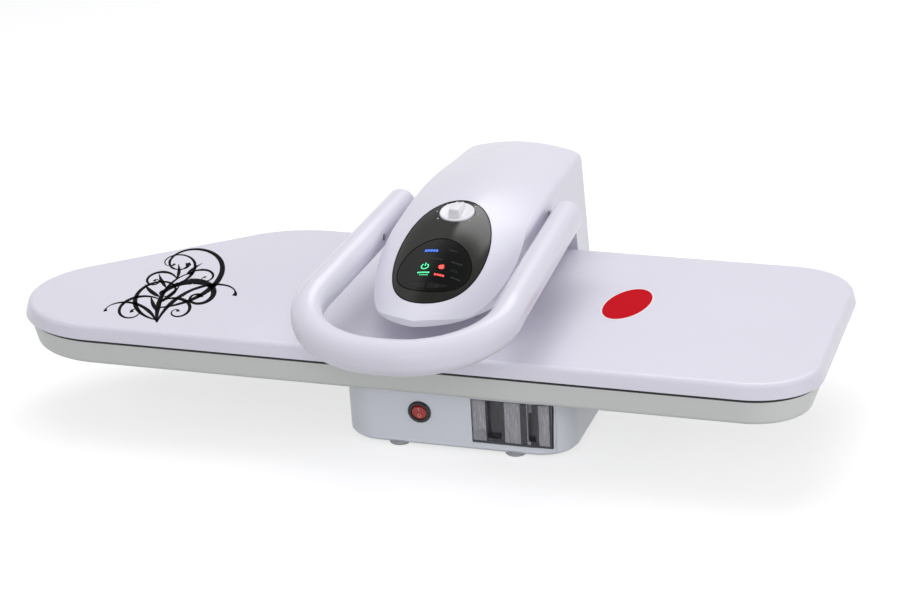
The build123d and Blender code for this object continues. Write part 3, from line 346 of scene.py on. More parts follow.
def workedMetal(name, look):
    material, tree, shader = newMaterial(name)
    grain = surfacePattern(tree, look["grain"], 5, look.get("stretch", (1, 1, 1)))
    stain = surfacePattern(tree, 14, 4)
    tree.links.new(tint(tree, stain, shade(look["colour"], 0.88), look["colour"]), shader.inputs["Base Color"])
    tree.links.new(spread(tree, grain, *look["rough"]), shader.inputs["Roughness"])
    relief(tree, shader, grain, 0.6, look["depth"])
    shader.inputs["Metallic"].default_value = look.get("metal", 1.0)
    return material


rubberColours = {"footRubber": (0.42, 0.42, 0.44), "inletRubber": (0.028, 0.028, 0.03), "hoseRubber": (0.5, 0.49, 0.45)}


def mouldedRubber(name, colour):
    material, tree, shader = newMaterial(name)
    grain = surfacePattern(tree, 1100, 3)
    dust = surfacePattern(tree, 35, 5)
    tree.links.new(tint(tree, dust, colour, tuple(c + 0.02 for c in colour)), shader.inputs["Base Color"])
    tree.links.new(spread(tree, dust, 0.6, 0.78), shader.inputs["Roughness"])
    relief(tree, shader, grain, 0.6, 0.00006)
    return material


tankLook = {
    "clear": (0.36, 0.36, 0.42),
    "frosted": (0.72, 0.72, 0.77),
    "bands": [(0.0765, 0.0905), (0.1105, 0.1270), (0.1340, 0.1375), (0.1465, 0.1590)],
    "bandDepth": -0.0945,
    "frost": 0.4,
    "grain": 500,
}


def smokedPlastic(name):
    # clear smoked plastic; the raised bands on its front face are frosted and look paler
    look = tankLook
    material, tree, shader = newMaterial(name)
    axes = objectAxes(tree)
    total = None
    for low, high in look["bands"]:
        over = mathNode(tree, "GREATER_THAN", axes["X"], low)
        under = mathNode(tree, "LESS_THAN", axes["X"], high)
        band = mathNode(tree, "MULTIPLY", over, under)
        total = band if total is None else mathNode(tree, "ADD", total, band)
    front = mathNode(tree, "LESS_THAN", axes["Y"], look["bandDepth"])
    streak = spread(tree, surfacePattern(tree, 60, 4, (8, 8, 0.2)), 0.7, 0.95)
    frosted = mathNode(tree, "MULTIPLY", mathNode(tree, "MULTIPLY", total, front), streak)
    tree.links.new(blend(tree, frosted, look["clear"], look["frosted"]), shader.inputs["Base Color"])
    tree.links.new(spread(tree, frosted, 0.05, 0.3, 0, 1), shader.inputs["Roughness"])
    tree.links.new(spread(tree, frosted, 0.9, look["frost"], 0, 1), shader.inputs["Transmission Weight"])
    relief(tree, shader, surfacePattern(tree, look["grain"], 2), 0.3, 0.00001)
    shader.inputs["IOR"].default_value = 1.46
    return material


weaveLook = {
    "thread": 0.0008,
    "warp": (0.74, 0.73, 0.69),
    "weft": (0.66, 0.65, 0.61),
    "worn": (0.9, 0.89, 0.87),
    "depth": 0.00012,
}


def wovenCloth(name):
    # plain weave: two crossed rows of threads, the higher one shows
    look = weaveLook
    material, tree, shader = newMaterial(name)
    coords = tree.nodes.new("ShaderNodeTexCoord")
    rows = []
    for way in ("X", "Y"):
        wave = tree.nodes.new("ShaderNodeTexWave")
        wave.wave_type = "BANDS"
        wave.bands_direction = way
        wave.inputs["Scale"].default_value = 0.31 / look["thread"]  # one band to a thread
        wave.inputs["Distortion"].default_value = 0.6
        wave.inputs["Detail"].default_value = 1.0
        wave.inputs["Detail Scale"].default_value = 2.0
        tree.links.new(coords.outputs["Object"], wave.inputs["Vector"])
        rows.append(wave.outputs["Fac"])
    threads = blend(tree, mathNode(tree, "GREATER_THAN", *rows), look["weft"], look["warp"])
    wear = tint(tree, surfacePattern(tree, 11, 5), look["worn"], (1, 1, 1))
    tree.links.new(blend(tree, 1.0, threads, wear, "MULTIPLY"), shader.inputs["Base Color"])
    tree.links.new(spread(tree, surfacePattern(tree, 30, 4), 0.75, 0.9), shader.inputs["Roughness"])
    relief(tree, shader, mathNode(tree, "MAXIMUM", *rows), 0.8, look["depth"])
    shader.inputs["Sheen Weight"].default_value = 0.25
    return material


feltLook = {"dark": (0.56, 0.53, 0.46), "light": (0.68, 0.66, 0.58), "fibre": 420}


def pressedFelt(name):
    material, tree, shader = newMaterial(name)
    fibre = surfacePattern(tree, feltLook["fibre"], 8, (1, 3, 1))
    tree.links.new(tint(tree, fibre, feltLook["dark"], feltLook["light"]), shader.inputs["Base Color"])
    tree.links.new(spread(tree, fibre, 0.85, 0.97), shader.inputs["Roughness"])
    relief(tree, shader, fibre, 0.9, 0.0004)
    shader.inputs["Sheen Weight"].default_value = 0.4
    return material


circuitLook = {"mask": (0.012, 0.09, 0.03), "track": (0.05, 0.2, 0.07), "pitch": 0.004}


def circuitBoard(name):
    material, tree, shader = newMaterial(name)
    coords = tree.nodes.new("ShaderNodeTexCoord")
    brick = tree.nodes.new("ShaderNodeTexBrick")
    brick.inputs["Scale"].default_value = 0.25 / circuitLook["pitch"]
    brick.inputs["Color1"].default_value = (*circuitLook["mask"], 1)
    brick.inputs["Color2"].default_value = (*shade(circuitLook["mask"], 1.3), 1)
    brick.inputs["Mortar"].default_value = (*circuitLook["track"], 1)
    tree.links.new(coords.outputs["Object"], brick.inputs["Vector"])
    tree.links.new(brick.outputs["Color"], shader.inputs["Base Color"])
    tree.links.new(spread(tree, surfacePattern(tree, 90, 3), 0.3, 0.45), shader.inputs["Roughness"])
    relief(tree, shader, brick.outputs["Fac"], 0.4, 0.00005)
    return material


def printedInk(name, colour, rough=0.45):
    material, tree, shader = newMaterial(name)
    fleck = surfacePattern(tree, 400, 4)
    tree.links.new(tint(tree, fleck, shade(colour, 0.86), colour), shader.inputs["Base Color"])
    tree.links.new(spread(tree, fleck, rough - 0.06, rough + 0.06), shader.inputs["Roughness"])
    relief(tree, shader, fleck, 0.2, 0.00001)
    shader.inputs["IOR"].default_value = 1.07  # dull ink, black also at a low angle
    return material


def glowingMark(name, colour, glow):
    material, tree, shader = newMaterial(name)
    fleck = surfacePattern(tree, 900, 2)
    tree.links.new(tint(tree, fleck, shade(colour, 0.9), colour), shader.inputs["Base Color"])
    tree.links.new(spread(tree, fleck, 0.3, 0.4), shader.inputs["Roughness"])
    shader.inputs["Emission Color"].default_value = (*colour, 1)
    shader.inputs["Emission Strength"].default_value = glow
    return material


finishes = {name: mouldedPlastic(name, look) for name, look in plasticLooks.items() if name != "trayGrey"}
finishes["trayGrey"] = trayPlasticWithGapShade()
finishes.update({name: workedMetal(name, look) for name, look in metalLooks.items()})
finishes.update({name: mouldedRubber(name, colour) for name, colour in rubberColours.items()})
finishes["smokedTank"] = smokedPlastic("smokedTank")
finishes["coverCloth"] = wovenCloth("coverCloth")
finishes["felt"] = pressedFelt("felt")
finishes["circuitGreen"] = circuitBoard("circuitGreen")

nodeFinish = {
    "shellWhite": ["head_cover", "arm_cover", "arm_underside", "handle_lower", "handle_upper"],
    "trayGrey": ["lower_board"],
    "basePlastic": ["base_housing", "base_pan"],
    "neckPlastic": ["arm_neck"],
    "bushPlastic": ["handle_bushes"],
    "panelBlack": ["control_panel"],
    "windowBlack": ["display_window"],
    "keyBlack": ["left_key", "right_key"],
    "knobWhite": ["temperature_knob"],
    "switchBlack": ["switch_bezel"],
    "rockerRed": ["power_rocker"],
    "smokedTank": ["water_tank"],
    "tankDark": ["tank_frame", "tank_cap"],
    "plugGrey": ["tank_plug"],
    "valveBlack": ["tank_valve", "valve_seat"],
    "pumpBlack": ["water_pump"],
    "hoseRubber": ["feed_hose"],
    "inletRubber": ["cord_inlet"],
    "footRubber": ["rubber_feet"],
    "sheetSteel": ["board_sheet"],
    "frameSteel": ["hinge_bracket", "arm_frame", "toggle_link"],
    "shaftSteel": ["hinge_shaft", "link_pin", "handle_shaft"],
    "springSteel": ["lift_springs"],
    "screwSteel": ["base_screws"],
    "plateAluminium": ["heating_plate"],
    "chamberAluminium": ["steam_chamber"],
    "elementSteel": ["heating_element"],
    "thermostatSteel": ["thermostat"],
    "circuitGreen": ["control_board"],
    "coverCloth": ["foam_pad", "board_cover"],
    "felt": ["insulation"],
}
for finish, names in nodeFinish.items():
    for name in names:
        nodes[name].data.materials.clear()
        nodes[name].data.materials.append(finishes[finish])
print("materials on", sum(len(v) for v in nodeFinish.values()), "parts")

# Shared steps for new pieces


def finishPiece(name, bm, material, body, slot, smooth=True):
    mesh = bpy.data.meshes.new(name)
    bm.to_mesh(mesh)
    bm.free()
    mesh.materials.append(material)
    if smooth:
        mesh.shade_smooth()
    piece = bpy.data.objects.new(name, mesh)
    bpy.context.scene.collection.objects.link(piece)
    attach(piece, body)
    return piece


def addPiece(name, bm, *rest):
    bmesh.ops.recalc_face_normals(bm, faces=bm.faces)
    return finishPiece(name, bm, *rest)


def surfaceOf(*pieces):
    # the pieces' faces, for laying printed marks on them
    bm = bmesh.new()
    for piece in pieces:
        bm.from_mesh(piece.data)
    tree = BVHTree.FromBMesh(bm)
    bm.free()
    return tree


def layOn(bm, surface, way, lift):
    # each point slides along way until it meets the surface
    way = Vector(way).normalized()
    for v in bm.verts:
        hit = surface.ray_cast(v.co - way * 0.1, way)
        if hit[0] is not None:
            v.co = hit[0] - way * lift


def flatShape(rings, centre, turn=0.0):
    # a filled closed outline in the ground plane
    bm = bmesh.new()
    verts = [bm.verts.new((x, y, 0)) for x, y in rings]
    bm.faces.new(verts)
    bmesh.ops.rotate(bm, verts=bm.verts, cent=(0, 0, 0), matrix=Matrix.Rotation(turn, 3, "Z"))
    bmesh.ops.translate(bm, verts=bm.verts, vec=centre)
    return bm


def mergeInto(target, source):
    mesh = bpy.data.meshes.new("part")
    source.to_mesh(mesh)
    source.free()
    target.from_mesh(mesh)
    bpy.data.meshes.remove(mesh)
    return target


def drawLine(bm, points, closed=False, kind="NURBS", smoothing=3, sides=2):
    # a round line through points with a half width each: a curve, turned into mesh
    data = bpy.data.curves.new("line", "CURVE")
    data.dimensions = "3D"
    data.bevel_depth = 1.0
    data.bevel_resolution = sides
    data.use_fill_caps = not closed
    data.resolution_u = smoothing
    line = data.splines.new(kind)
    line.points.add(len(points) - 1)
    for point, (place, half) in zip(line.points, points):
        point.co = (*place, 1)
        point.radius = half
    if kind == "NURBS":
        line.order_u = 3
    if closed:
        line.use_cyclic_u = True
    else:
        line.use_endpoint_u = True
    holder = bpy.data.objects.new("line", data)
    bpy.context.scene.collection.objects.link(holder)
    mesh = bpy.data.meshes.new_from_object(holder)
    bm.from_mesh(mesh)
    bpy.data.meshes.remove(mesh)
    bpy.data.objects.remove(holder)
    bpy.data.curves.remove(data)


def turnedShape(profile, steps):
    # a profile of (radius, height) spun round the upright axis
    bm = bmesh.new()
    verts = [bm.verts.new((r, 0, z)) for r, z in profile]
    edges = [bm.edges.new(pair) for pair in zip(verts, verts[1:])]
    bmesh.ops.spin(bm, geom=verts + edges, cent=(0, 0, 0), axis=(0, 0, 1), angle=2 * math.pi, steps=steps,
                   use_merge=True, use_duplicate=False)
    bmesh.ops.remove_doubles(bm, verts=bm.verts, dist=1e-6)
    return bm


# Printed scroll ornament on the left of the press head

ornamentLook = {
    # the design is drawn upright and laid on the plate along these two directions
    "root": (-0.257, -0.123),
    "across": (1.50, 0.44),
    "along": (-0.86, 2.80),
    "ink": (0.003, 0.003, 0.004),
    "height": 0.0001,
    "stem": (104, 0.060, 0.0022, -0.30),
    # place on the stem, heading, length, half width, turns of the curl
    "volutes": [
        (0.05, 165, 0.094, 0.0019, -1.45),
        (0.25, 4, 0.148, 0.0025, 1.35),
        (0.38, 34, 0.056, 0.0017, -1.4),
        (0.52, 66, 0.082, 0.0033, -1.5),
        (0.40, 142, 0.066, 0.0016, 1.5),
        (0.80, 112, 0.048, 0.0015, 1.5),
        (0.95, 52, 0.040, 0.0014, -1.3),
        (0.00, 82, 0.078, 0.0020, -0.55),
        (0.00, 112, 0.052, 0.0016, 0.5),
        (0.62, 20, 0.076, 0.0014, 1.2),
    ],
    # place on the stem, heading, length, half width, bend
    "leaves": [
        (0.45, 150, 0.020, 0.0014, -30),
        (0.62, 128, 0.018, 0.0013, -20),
        (0.80, 82, 0.017, 0.0012, 25),
        (0.35, 42, 0.022, 0.0016, 30),
        (0.20, 124, 0.018, 0.0014, -20),
        (0.92, 66, 0.016, 0.0012, -25),
    ],
}


def voluteStroke(start, heading, length, half, turns, steps=48):
    # the bend tightens towards the tip, which ends in a round bud
    x, y = start
    angle = math.radians(heading)
    tight = abs(turns) * 2 * math.pi / math.log(1.07 / 0.07)
    points = []
    for i in range(steps + 1):
        t = i / steps
        body = 0.3 + 2.6 * t if t < 0.27 else 0.15 + 0.85 * (1 - (t - 0.27) / 0.73) ** 0.9
        bud = 0.7 * math.sqrt(max(0, (t - 0.95) / 0.05))
        points.append((x, y, half * (body + bud)))
        angle += math.copysign(tight, turns) / (1.07 - t) / steps
        x += math.cos(angle) * length / steps
        y += math.sin(angle) * length / steps
    return points


def leafStroke(start, heading, length, half, bend, steps=10):
    x, y = start
    angle = math.radians(heading)
    points = []
    for i in range(steps + 1):
        points.append((x, y, 0.0002 + half * math.sin(math.pi * (i / steps) ** 0.8) ** 1.2))
        angle += math.radians(bend) / steps
        x += math.cos(angle) * length / steps
        y += math.sin(angle) * length / steps
    return points


def makeOrnament():
    look = ornamentLook
    stem = voluteStroke((0, 0), *look["stem"])
    strokes = [stem]
    for place, *shape in look["volutes"]:
        strokes.append(voluteStroke(stem[int(place * (len(stem) - 1))][:2], *shape))
    for place, *shape in look["leaves"]:
        strokes.append(leafStroke(stem[int(place * (len(stem) - 1))][:2], *shape))
    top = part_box("head_cover")[1].z
    bm = bmesh.new()
    for stroke in strokes:
        drawLine(bm, [((x, y, 0), half) for x, y, half in stroke], smoothing=4, sides=1)
    for v in bm.verts:
        v.co.z = look["height"] if v.co.z > 0 else -look["height"]
    skew = Matrix((look["across"], look["along"])).transposed().to_4x4()
    bm.transform(Matrix.Translation((*look["root"], top)) @ skew)
    addPiece("scrollOrnament", bm, printedInk("ornamentInk", look["ink"], 0.4), "head", "shell_white")


makeOrnament()
print("ornament printed")

# Bare red oval badge with a white rim, right of the dome

badgeLook = {
    "centre": (0.2058, 0.0438),
    "half": (0.0242, 0.0495),
    "rim": 0.0019,
    "turn": -7.0,
    "thick": 0.00025,
    "red": (0.6, 0.003, 0.012),
    "white": (0.86, 0.86, 0.88),
}


def ovalDisc(half, centre, turn, thick, edge):
    bm = bmesh.new()
    bmesh.ops.create_circle(bm, cap_ends=True, segments=96, radius=1.0)
    bmesh.ops.scale(bm, verts=bm.verts, vec=(half[0], half[1], 1))
    made = bmesh.ops.extrude_face_region(bm, geom=bm.faces[:])
    top = [g for g in made["geom"] if isinstance(g, bmesh.types.BMVert)]
    bmesh.ops.translate(bm, verts=top, vec=(0, 0, thick))
    rim = [e for e in bm.edges if all(v in top for v in e.verts)]
    bmesh.ops.bevel(bm, geom=rim, offset=edge, offset_type="OFFSET", segments=2, profile=0.5, affect="EDGES",
                    material=-1)
    bmesh.ops.rotate(bm, verts=bm.verts, cent=(0, 0, 0), matrix=Matrix.Rotation(math.radians(turn), 3, "Z"))
    bmesh.ops.translate(bm, verts=bm.verts, vec=centre)
    return bm


def makeBadge():
    look = badgeLook
    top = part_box("head_cover")[1].z
    rim = ovalDisc(look["half"], (*look["centre"], top), look["turn"], look["thick"], look["thick"] * 0.4)
    addPiece("badgeRim", rim, printedInk("badgeWhite", look["white"], 0.3), "head", "shell_white", False)
    inner = tuple(h - look["rim"] for h in look["half"])
    disc = ovalDisc(inner, (*look["centre"], top + look["thick"]), look["turn"], look["thick"] * 0.4,
                    look["thick"] * 0.2)
    addPiece("badgeDisc", disc, printedInk("badgeRed", look["red"], 0.5), "head", "rocker_red", False)


makeBadge()
print("badge laid")

# Control panel: trims, display marks and dial marks

dropHeight = 0.3  # marks and trims are dropped on the dome from here

panelLook = {
    "centre": (0.035, -0.058),
    "half": (0.0475, 0.083),
    "displayCentre": (0.035, -0.087),
    "displayRadius": 0.0385,
    "trimHalf": 0.0006,
    "trimInset": 0.0006,
    "displayInset": 0.0008,
    "dashShare": 0.78,
    "trimColour": (0.006, 0.006, 0.006),
    "blue": (0.05, 0.16, 0.95),
    "green": (0.07, 0.75, 0.3),
    "red": (0.95, 0.06, 0.05),
    "grey": (0.04, 0.043, 0.04),
    "white": (0.75, 0.75, 0.75),
}
displayBars = [
    # name, colour, centre and size on the display in millimetres, number of dashes
    ("blueReadout", "blue", (-8.3, 19.4), (14.5, 3.0), 5),
    ("greenLegend", "green", (-7.8, -12.2), (13.0, 2.0), 6),
    ("greenLegendLow", "green", (-6.7, -15.6), (9.5, 0.9), 5),
    ("redLegend", "red", (9.2, -13.8), (11.0, 2.6), 4),
    ("greyLegendTop", "grey", (13.5, 22.0), (9.0, 2.2), 4),
    ("greyLegendLeft", "grey", (-23.0, 9.6), (9.0, 2.2), 4),
    ("greyLegendMiddle", "grey", (0.0, 7.4), (14.5, 2.2), 6),
    ("greyLegendRight", "grey", (22.0, 6.8), (11.5, 2.2), 5),
    ("greyLegendLowRight", "grey", (26.0, -12.6), (10.5, 2.0), 4),
    ("greyLegendLowLeft", "grey", (-26.0, -12.4), (8.5, 2.0), 4),
]


def ringTrim(name, centre, half, surface, slot, material, thick, sink=0.0001, count=72):
    # a thin trim line that follows the dome: dropped on it from above
    points = []
    for i in range(count):
        a = 2 * math.pi * i / count
        place = Vector((centre[0] + half[0] * math.cos(a), centre[1] + half[1] * math.sin(a), dropHeight))
        hit = surface.ray_cast(place, Vector((0, 0, -1)))
        points.append(((place.x, place.y, hit[0].z - sink), thick))
    bm = bmesh.new()
    drawLine(bm, points, closed=True)
    bmesh.ops.remove_doubles(bm, verts=bm.verts, dist=1e-6)
    addPiece(name, bm, material, "head", slot)


def roundedBar(width, height, centre, corner=0.35):
    bm = bmesh.new()
    bmesh.ops.create_grid(bm, x_segments=6, y_segments=2, size=0.5)
    bmesh.ops.scale(bm, verts=bm.verts, vec=(width, height, 1))
    corners = [v for v in bm.verts if len(v.link_edges) == 2]
    bmesh.ops.bevel(bm, geom=corners, offset=corner * min(width, height), segments=3, profile=0.5,
                    affect="VERTICES", material=-1)
    bmesh.ops.translate(bm, verts=bm.verts, vec=centre)
    return bm


def arcBand(radius, wide, start, sweep, centre, steps=40):
    # a flat ring or part of one, by turning a short edge; angles in degrees
    start, sweep = math.radians(start), math.radians(sweep)
    bm = bmesh.new()
    inner = bm.verts.new((radius - wide / 2, 0, 0))
    outer = bm.verts.new((radius + wide / 2, 0, 0))
    edge = bm.edges.new((inner, outer))
    bmesh.ops.rotate(bm, verts=bm.verts, cent=(0, 0, 0), matrix=Matrix.Rotation(start, 3, "Z"))
    bmesh.ops.spin(bm, geom=[inner, outer, edge], cent=(0, 0, 0), axis=(0, 0, 1), angle=sweep, steps=steps,
                   use_merge=abs(sweep) > 6.28, use_duplicate=False)
    bmesh.ops.translate(bm, verts=bm.verts, vec=centre)
    return bm


def printMark(name, bm, surface, material, body, slot, way=(0, 0, -1), lift=0.00012):
    # the mark is laid on the surface along way, and faces back against it
    bmesh.ops.subdivide_edges(bm, edges=[e for e in bm.edges if e.calc_length() > 0.003], cuts=2, use_grid_fill=True)
    layOn(bm, surface, way, lift)
    bmesh.ops.recalc_face_normals(bm, faces=bm.faces)
    if sum((f.normal * f.calc_area() for f in bm.faces), Vector()).dot(Vector(way)) > 0:
        bmesh.ops.reverse_faces(bm, faces=bm.faces)
    finishPiece(name, bm, material, body, slot)


signLook = {
    # places and sizes on the display in metres
    "power": {"place": (-0.0086, -0.0035), "ring": (0.0036, 0.0011), "from": 125, "sweep": 290,
              "bar": (0.0011, 0.0044), "barPlace": (-0.0086, -0.0008)},
    "heat": {"place": (0.0083, -0.0030), "half": (0.0031, 0.0034), "up": 0.0008, "pinch": 0.55, "turn": -28},
    "level": {"place": (-0.0258, -0.0029), "ring": (0.0042, 0.0005), "dot": (0.0006, 0.0011)},
    "steam": {"place": (0.0222, -0.0056), "ring": (0.0034, 0.0006), "from": 20, "sweep": 140,
              "bar": (0.0070, 0.0006), "barPlace": (0.0222, -0.0050)},
    "keys": {"across": 0.0115, "down": -0.0278, "stroke": (0.0046, 0.0006)},
}


def makePanelMarks():
    look = panelLook
    panel = surfaceOf(*(nodes[n] for n in ("control_panel", "display_window", "left_key", "right_key")))
    trim = printedInk("trimBlack", look["trimColour"], 0.25)
    ringTrim("panelTrim", look["centre"], tuple(h - look["trimInset"] for h in look["half"]), panel, "panel_black", trim,
             look["trimHalf"])
    inside = look["displayRadius"] - look["displayInset"]
    ringTrim("displayTrim", look["displayCentre"], (inside, inside), panel, "window_black", trim,
             look["trimHalf"] * 0.9)
    glow = {name: glowingMark(name + "Glow", look[name], 1.1) for name in ("blue", "green", "red")}
    glow["grey"] = printedInk("greyLegendInk", look["grey"], 0.3)

    def spot(place):
        # over the display, from where a mark drops on it
        return look["displayCentre"][0] + place[0], look["displayCentre"][1] + place[1], dropHeight

    def sign(name, bm, colour):
        printMark(name, bm, panel, glow[colour], "head", "window_black")

    for name, colour, (u, v), (w, h), count in displayBars:
        dashes = bmesh.new()
        for i in range(count):
            place = spot(((u + w * ((i + 0.5) / count - 0.5)) / 1000, v / 1000))
            mergeInto(dashes, roundedBar(look["dashShare"] * w / count / 1000, h / 1000, place))
        sign(name, dashes, colour)
    power, heat, level, steam, keys = (signLook[k] for k in ("power", "heat", "level", "steam", "keys"))
    ring = arcBand(*power["ring"], power["from"], power["sweep"], spot(power["place"]))
    sign("powerSign", mergeInto(ring, roundedBar(*power["bar"], spot(power["barPlace"]))), "green")
    # a plain drop, narrow at its top
    turns = (2 * math.pi * i / 28 for i in range(28))
    drop = [(heat["half"][0] * math.sin(a) * (1 - heat["pinch"] * max(0, math.cos(a))),
             heat["half"][1] * math.cos(a) + heat["up"]) for a in turns]
    sign("heatSign", flatShape(drop, spot(heat["place"]), math.radians(heat["turn"])), "red")
    ring = arcBand(*level["ring"], 0, 360, spot(level["place"]))
    sign("levelSign", mergeInto(ring, arcBand(*level["dot"], 0, 360, spot(level["place"]), 16)), "grey")
    ring = arcBand(*steam["ring"], steam["from"], steam["sweep"], spot(steam["place"]), 20)
    sign("steamSign", mergeInto(ring, roundedBar(*steam["bar"], spot(steam["barPlace"]))), "grey")
    for name, body, side in (("leftKeyMark", "left_key", -1), ("rightKeyMark", "right_key", 1)):
        place = spot((side * keys["across"], keys["down"]))
        mark = roundedBar(*keys["stroke"], place)
        if side > 0:
            mergeInto(mark, roundedBar(*reversed(keys["stroke"]), place))
        printMark(name, mark, panel, glow["grey"], body, "key_black")


makePanelMarks()
print("panel marks printed")

dialLook = {
    "centre": (0.035, -0.001),
    "tilt": 13.0,
    "radius": 0.0222,
    "dots": 7,
    "from": -40,
    "sweep": 260,
    "dotRadius": 0.0007,
}


def makeDialMarks():
    # a row of growing dots round the knob
    look = dialLook
    panel = surfaceOf(nodes["control_panel"])
    marks = bmesh.new()
    for i in range(look["dots"]):
        a = math.radians(look["from"] + look["sweep"] * i / (look["dots"] - 1))
        centre = (look["centre"][0] + look["radius"] * math.cos(a),
                  look["centre"][1] + look["radius"] * math.sin(a) * math.cos(math.radians(look["tilt"])), dropHeight)
        dot = bmesh.new()
        bmesh.ops.create_circle(dot, cap_ends=True, segments=14, radius=look["dotRadius"] * (0.7 + 0.1 * i))
        bmesh.ops.translate(dot, verts=dot.verts, vec=centre)
        mergeInto(marks, dot)
    white = printedInk("dialWhite", panelLook["white"], 0.4)
    printMark("dialMarks", marks, panel, white, "head", "panel_black")


makeDialMarks()
print("dial marked")

# Rocker marks on the power switch

rockerLook = {
    "centre": (0.020, -0.101, 0.043),
    "lean": 7.0,
    "ink": (0.85, 0.55, 0.5),
    "up": 0.0040,
    "down": -0.0042,
    "ring": (0.0017, 0.0006),
    "bar": (0.0006, 0.0034),
}


def makeRockerMarks():
    look = rockerLook
    lean = math.radians(look["lean"])
    inward = Vector((0, math.cos(lean), math.sin(lean)))
    rocker = surfaceOf(nodes["power_rocker"])
    marks = arcBand(*look["ring"], 0, 360, (0, look["down"], 0), 28)
    mergeInto(marks, roundedBar(*look["bar"], (0, look["up"], 0)))
    turn = Matrix.Rotation(math.pi / 2 + lean, 3, "X")
    bmesh.ops.rotate(marks, verts=marks.verts, cent=(0, 0, 0), matrix=turn)
    bmesh.ops.translate(marks, verts=marks.verts, vec=look["centre"])
    ink = printedInk("rockerInk", look["ink"], 0.4)
    printMark("rockerMarks", marks, rocker, ink, "rocker", "rocker_red", inward, 0.00008)


makeRockerMarks()
print("switch marked")

# Ironing board cover: padded cloth over the foam, with a gathered hem

coverLook = {
    "voxel": 0.006,
    "shrink": 0.0008,
    "top": 0.1032,
    "cap": 0.0009,
    "pressure": 4.0,
    "stretchStiffness": 20,
    "bendStiffness": 0.4,
    "frames": 14,
    "highest": 0.1042,
    "pucker": 0.0005,
    "puckerPitch": 0.012,
    "puckerReach": 0.016,
    "puckerRise": 0.004,
    "waver": 0.0002,
    "waverPitch": 0.05,
    "hemRadius": 0.0013,
    "hemLift": 0.0946,
    "hemOut": 0.0005,
}


def boardOutline(name, height, step):
    # the part's section at one height as one loop of short edges
    bm = bmesh.new()
    bm.from_mesh(nodes[name].data)
    bmesh.ops.remove_doubles(bm, verts=bm.verts, dist=1e-5)
    bmesh.ops.bisect_plane(bm, geom=bm.verts[:] + bm.edges[:] + bm.faces[:], plane_co=(0, 0, height),
                           plane_no=(0, 0, 1), clear_inner=True, clear_outer=True)
    bmesh.ops.remove_doubles(bm, verts=bm.verts, dist=2e-4)
    for _ in range(8):
        longEdges = [e for e in bm.edges if e.calc_length() > step]
        if longEdges:
            bmesh.ops.subdivide_edges(bm, edges=longEdges, cuts=1)
    return bm


def outwardOf(v):
    # level direction away from the board at a point of its outline
    ends = [e.other_vert(v).co for e in v.link_edges]
    along = (ends[1] - ends[0]).normalized()
    side = Vector((along.y, -along.x, 0))
    return side if side.dot(v.co - Vector((0, 0.028, v.co.z))) > 0 else -side


def makeBoardCover():
    look = coverLook
    low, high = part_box("foam_pad")
    bm = boardOutline("foam_pad", (low.z + high.z) / 2, 0.012)
    moves = [(v, outwardOf(v)) for v in bm.verts]
    for v, side in moves:
        v.co -= side * look["shrink"]
        v.co.z = low.z + 0.0001
    made = bmesh.ops.contextual_create(bm, geom=bm.edges[:])
    lifted = bmesh.ops.extrude_face_region(bm, geom=made["faces"], use_keep_orig=True)
    top = [g for g in lifted["geom"] if isinstance(g, bmesh.types.BMVert)]
    bmesh.ops.translate(bm, verts=top, vec=(0, 0, look["top"] - low.z))
    bmesh.ops.recalc_face_normals(bm, faces=bm.faces)
    mesh = bpy.data.meshes.new("boardCover")
    bm.to_mesh(mesh)
    bm.free()
    cover = bpy.data.objects.new("boardCover", mesh)
    bpy.context.scene.collection.objects.link(cover)
    voxels = cover.modifiers.new("voxels", "REMESH")
    voxels.mode = "VOXEL"
    voxels.voxel_size = look["voxel"]
    takeShape(cover)
    start = [v.co.copy() for v in cover.data.vertices]
    swellCloth(cover, low.z)
    puckerEdge(cover, start)
    cover.data.materials.clear()
    cover.data.materials.append(finishes["coverCloth"])
    cover.data.shade_smooth()
    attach(cover, "base")
    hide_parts("board_cover", "foam_pad")


def takeShape(piece):
    # what the modifiers make becomes the piece's own mesh
    seen = piece.evaluated_get(bpy.context.evaluated_depsgraph_get())
    mesh = bpy.data.meshes.new_from_object(seen)
    old = piece.data
    piece.modifiers.clear()
    piece.data = mesh
    bpy.data.meshes.remove(old)


def swellCloth(piece, floor):
    # the padding presses the cloth out a little; the underside stays on the sheet
    look = coverLook
    held = piece.vertex_groups.new(name="held")
    held.add([v.index for v in piece.data.vertices if v.co.z < floor + 0.003], 1.0, "REPLACE")
    cloth = piece.modifiers.new("cloth", "CLOTH")
    cloth.settings.quality = 4
    cloth.settings.use_pressure = True
    cloth.settings.uniform_pressure_force = look["pressure"]
    cloth.settings.vertex_group_mass = "held"
    cloth.settings.effector_weights.gravity = 0
    cloth.settings.tension_stiffness = look["stretchStiffness"]
    cloth.settings.bending_stiffness = look["bendStiffness"]
    cloth.point_cache.frame_start = 1
    cloth.point_cache.frame_end = look["frames"]
    scene = bpy.context.scene
    for number in range(1, look["frames"] + 1):
        scene.frame_set(number)
    takeShape(piece)
    scene.frame_set(1)


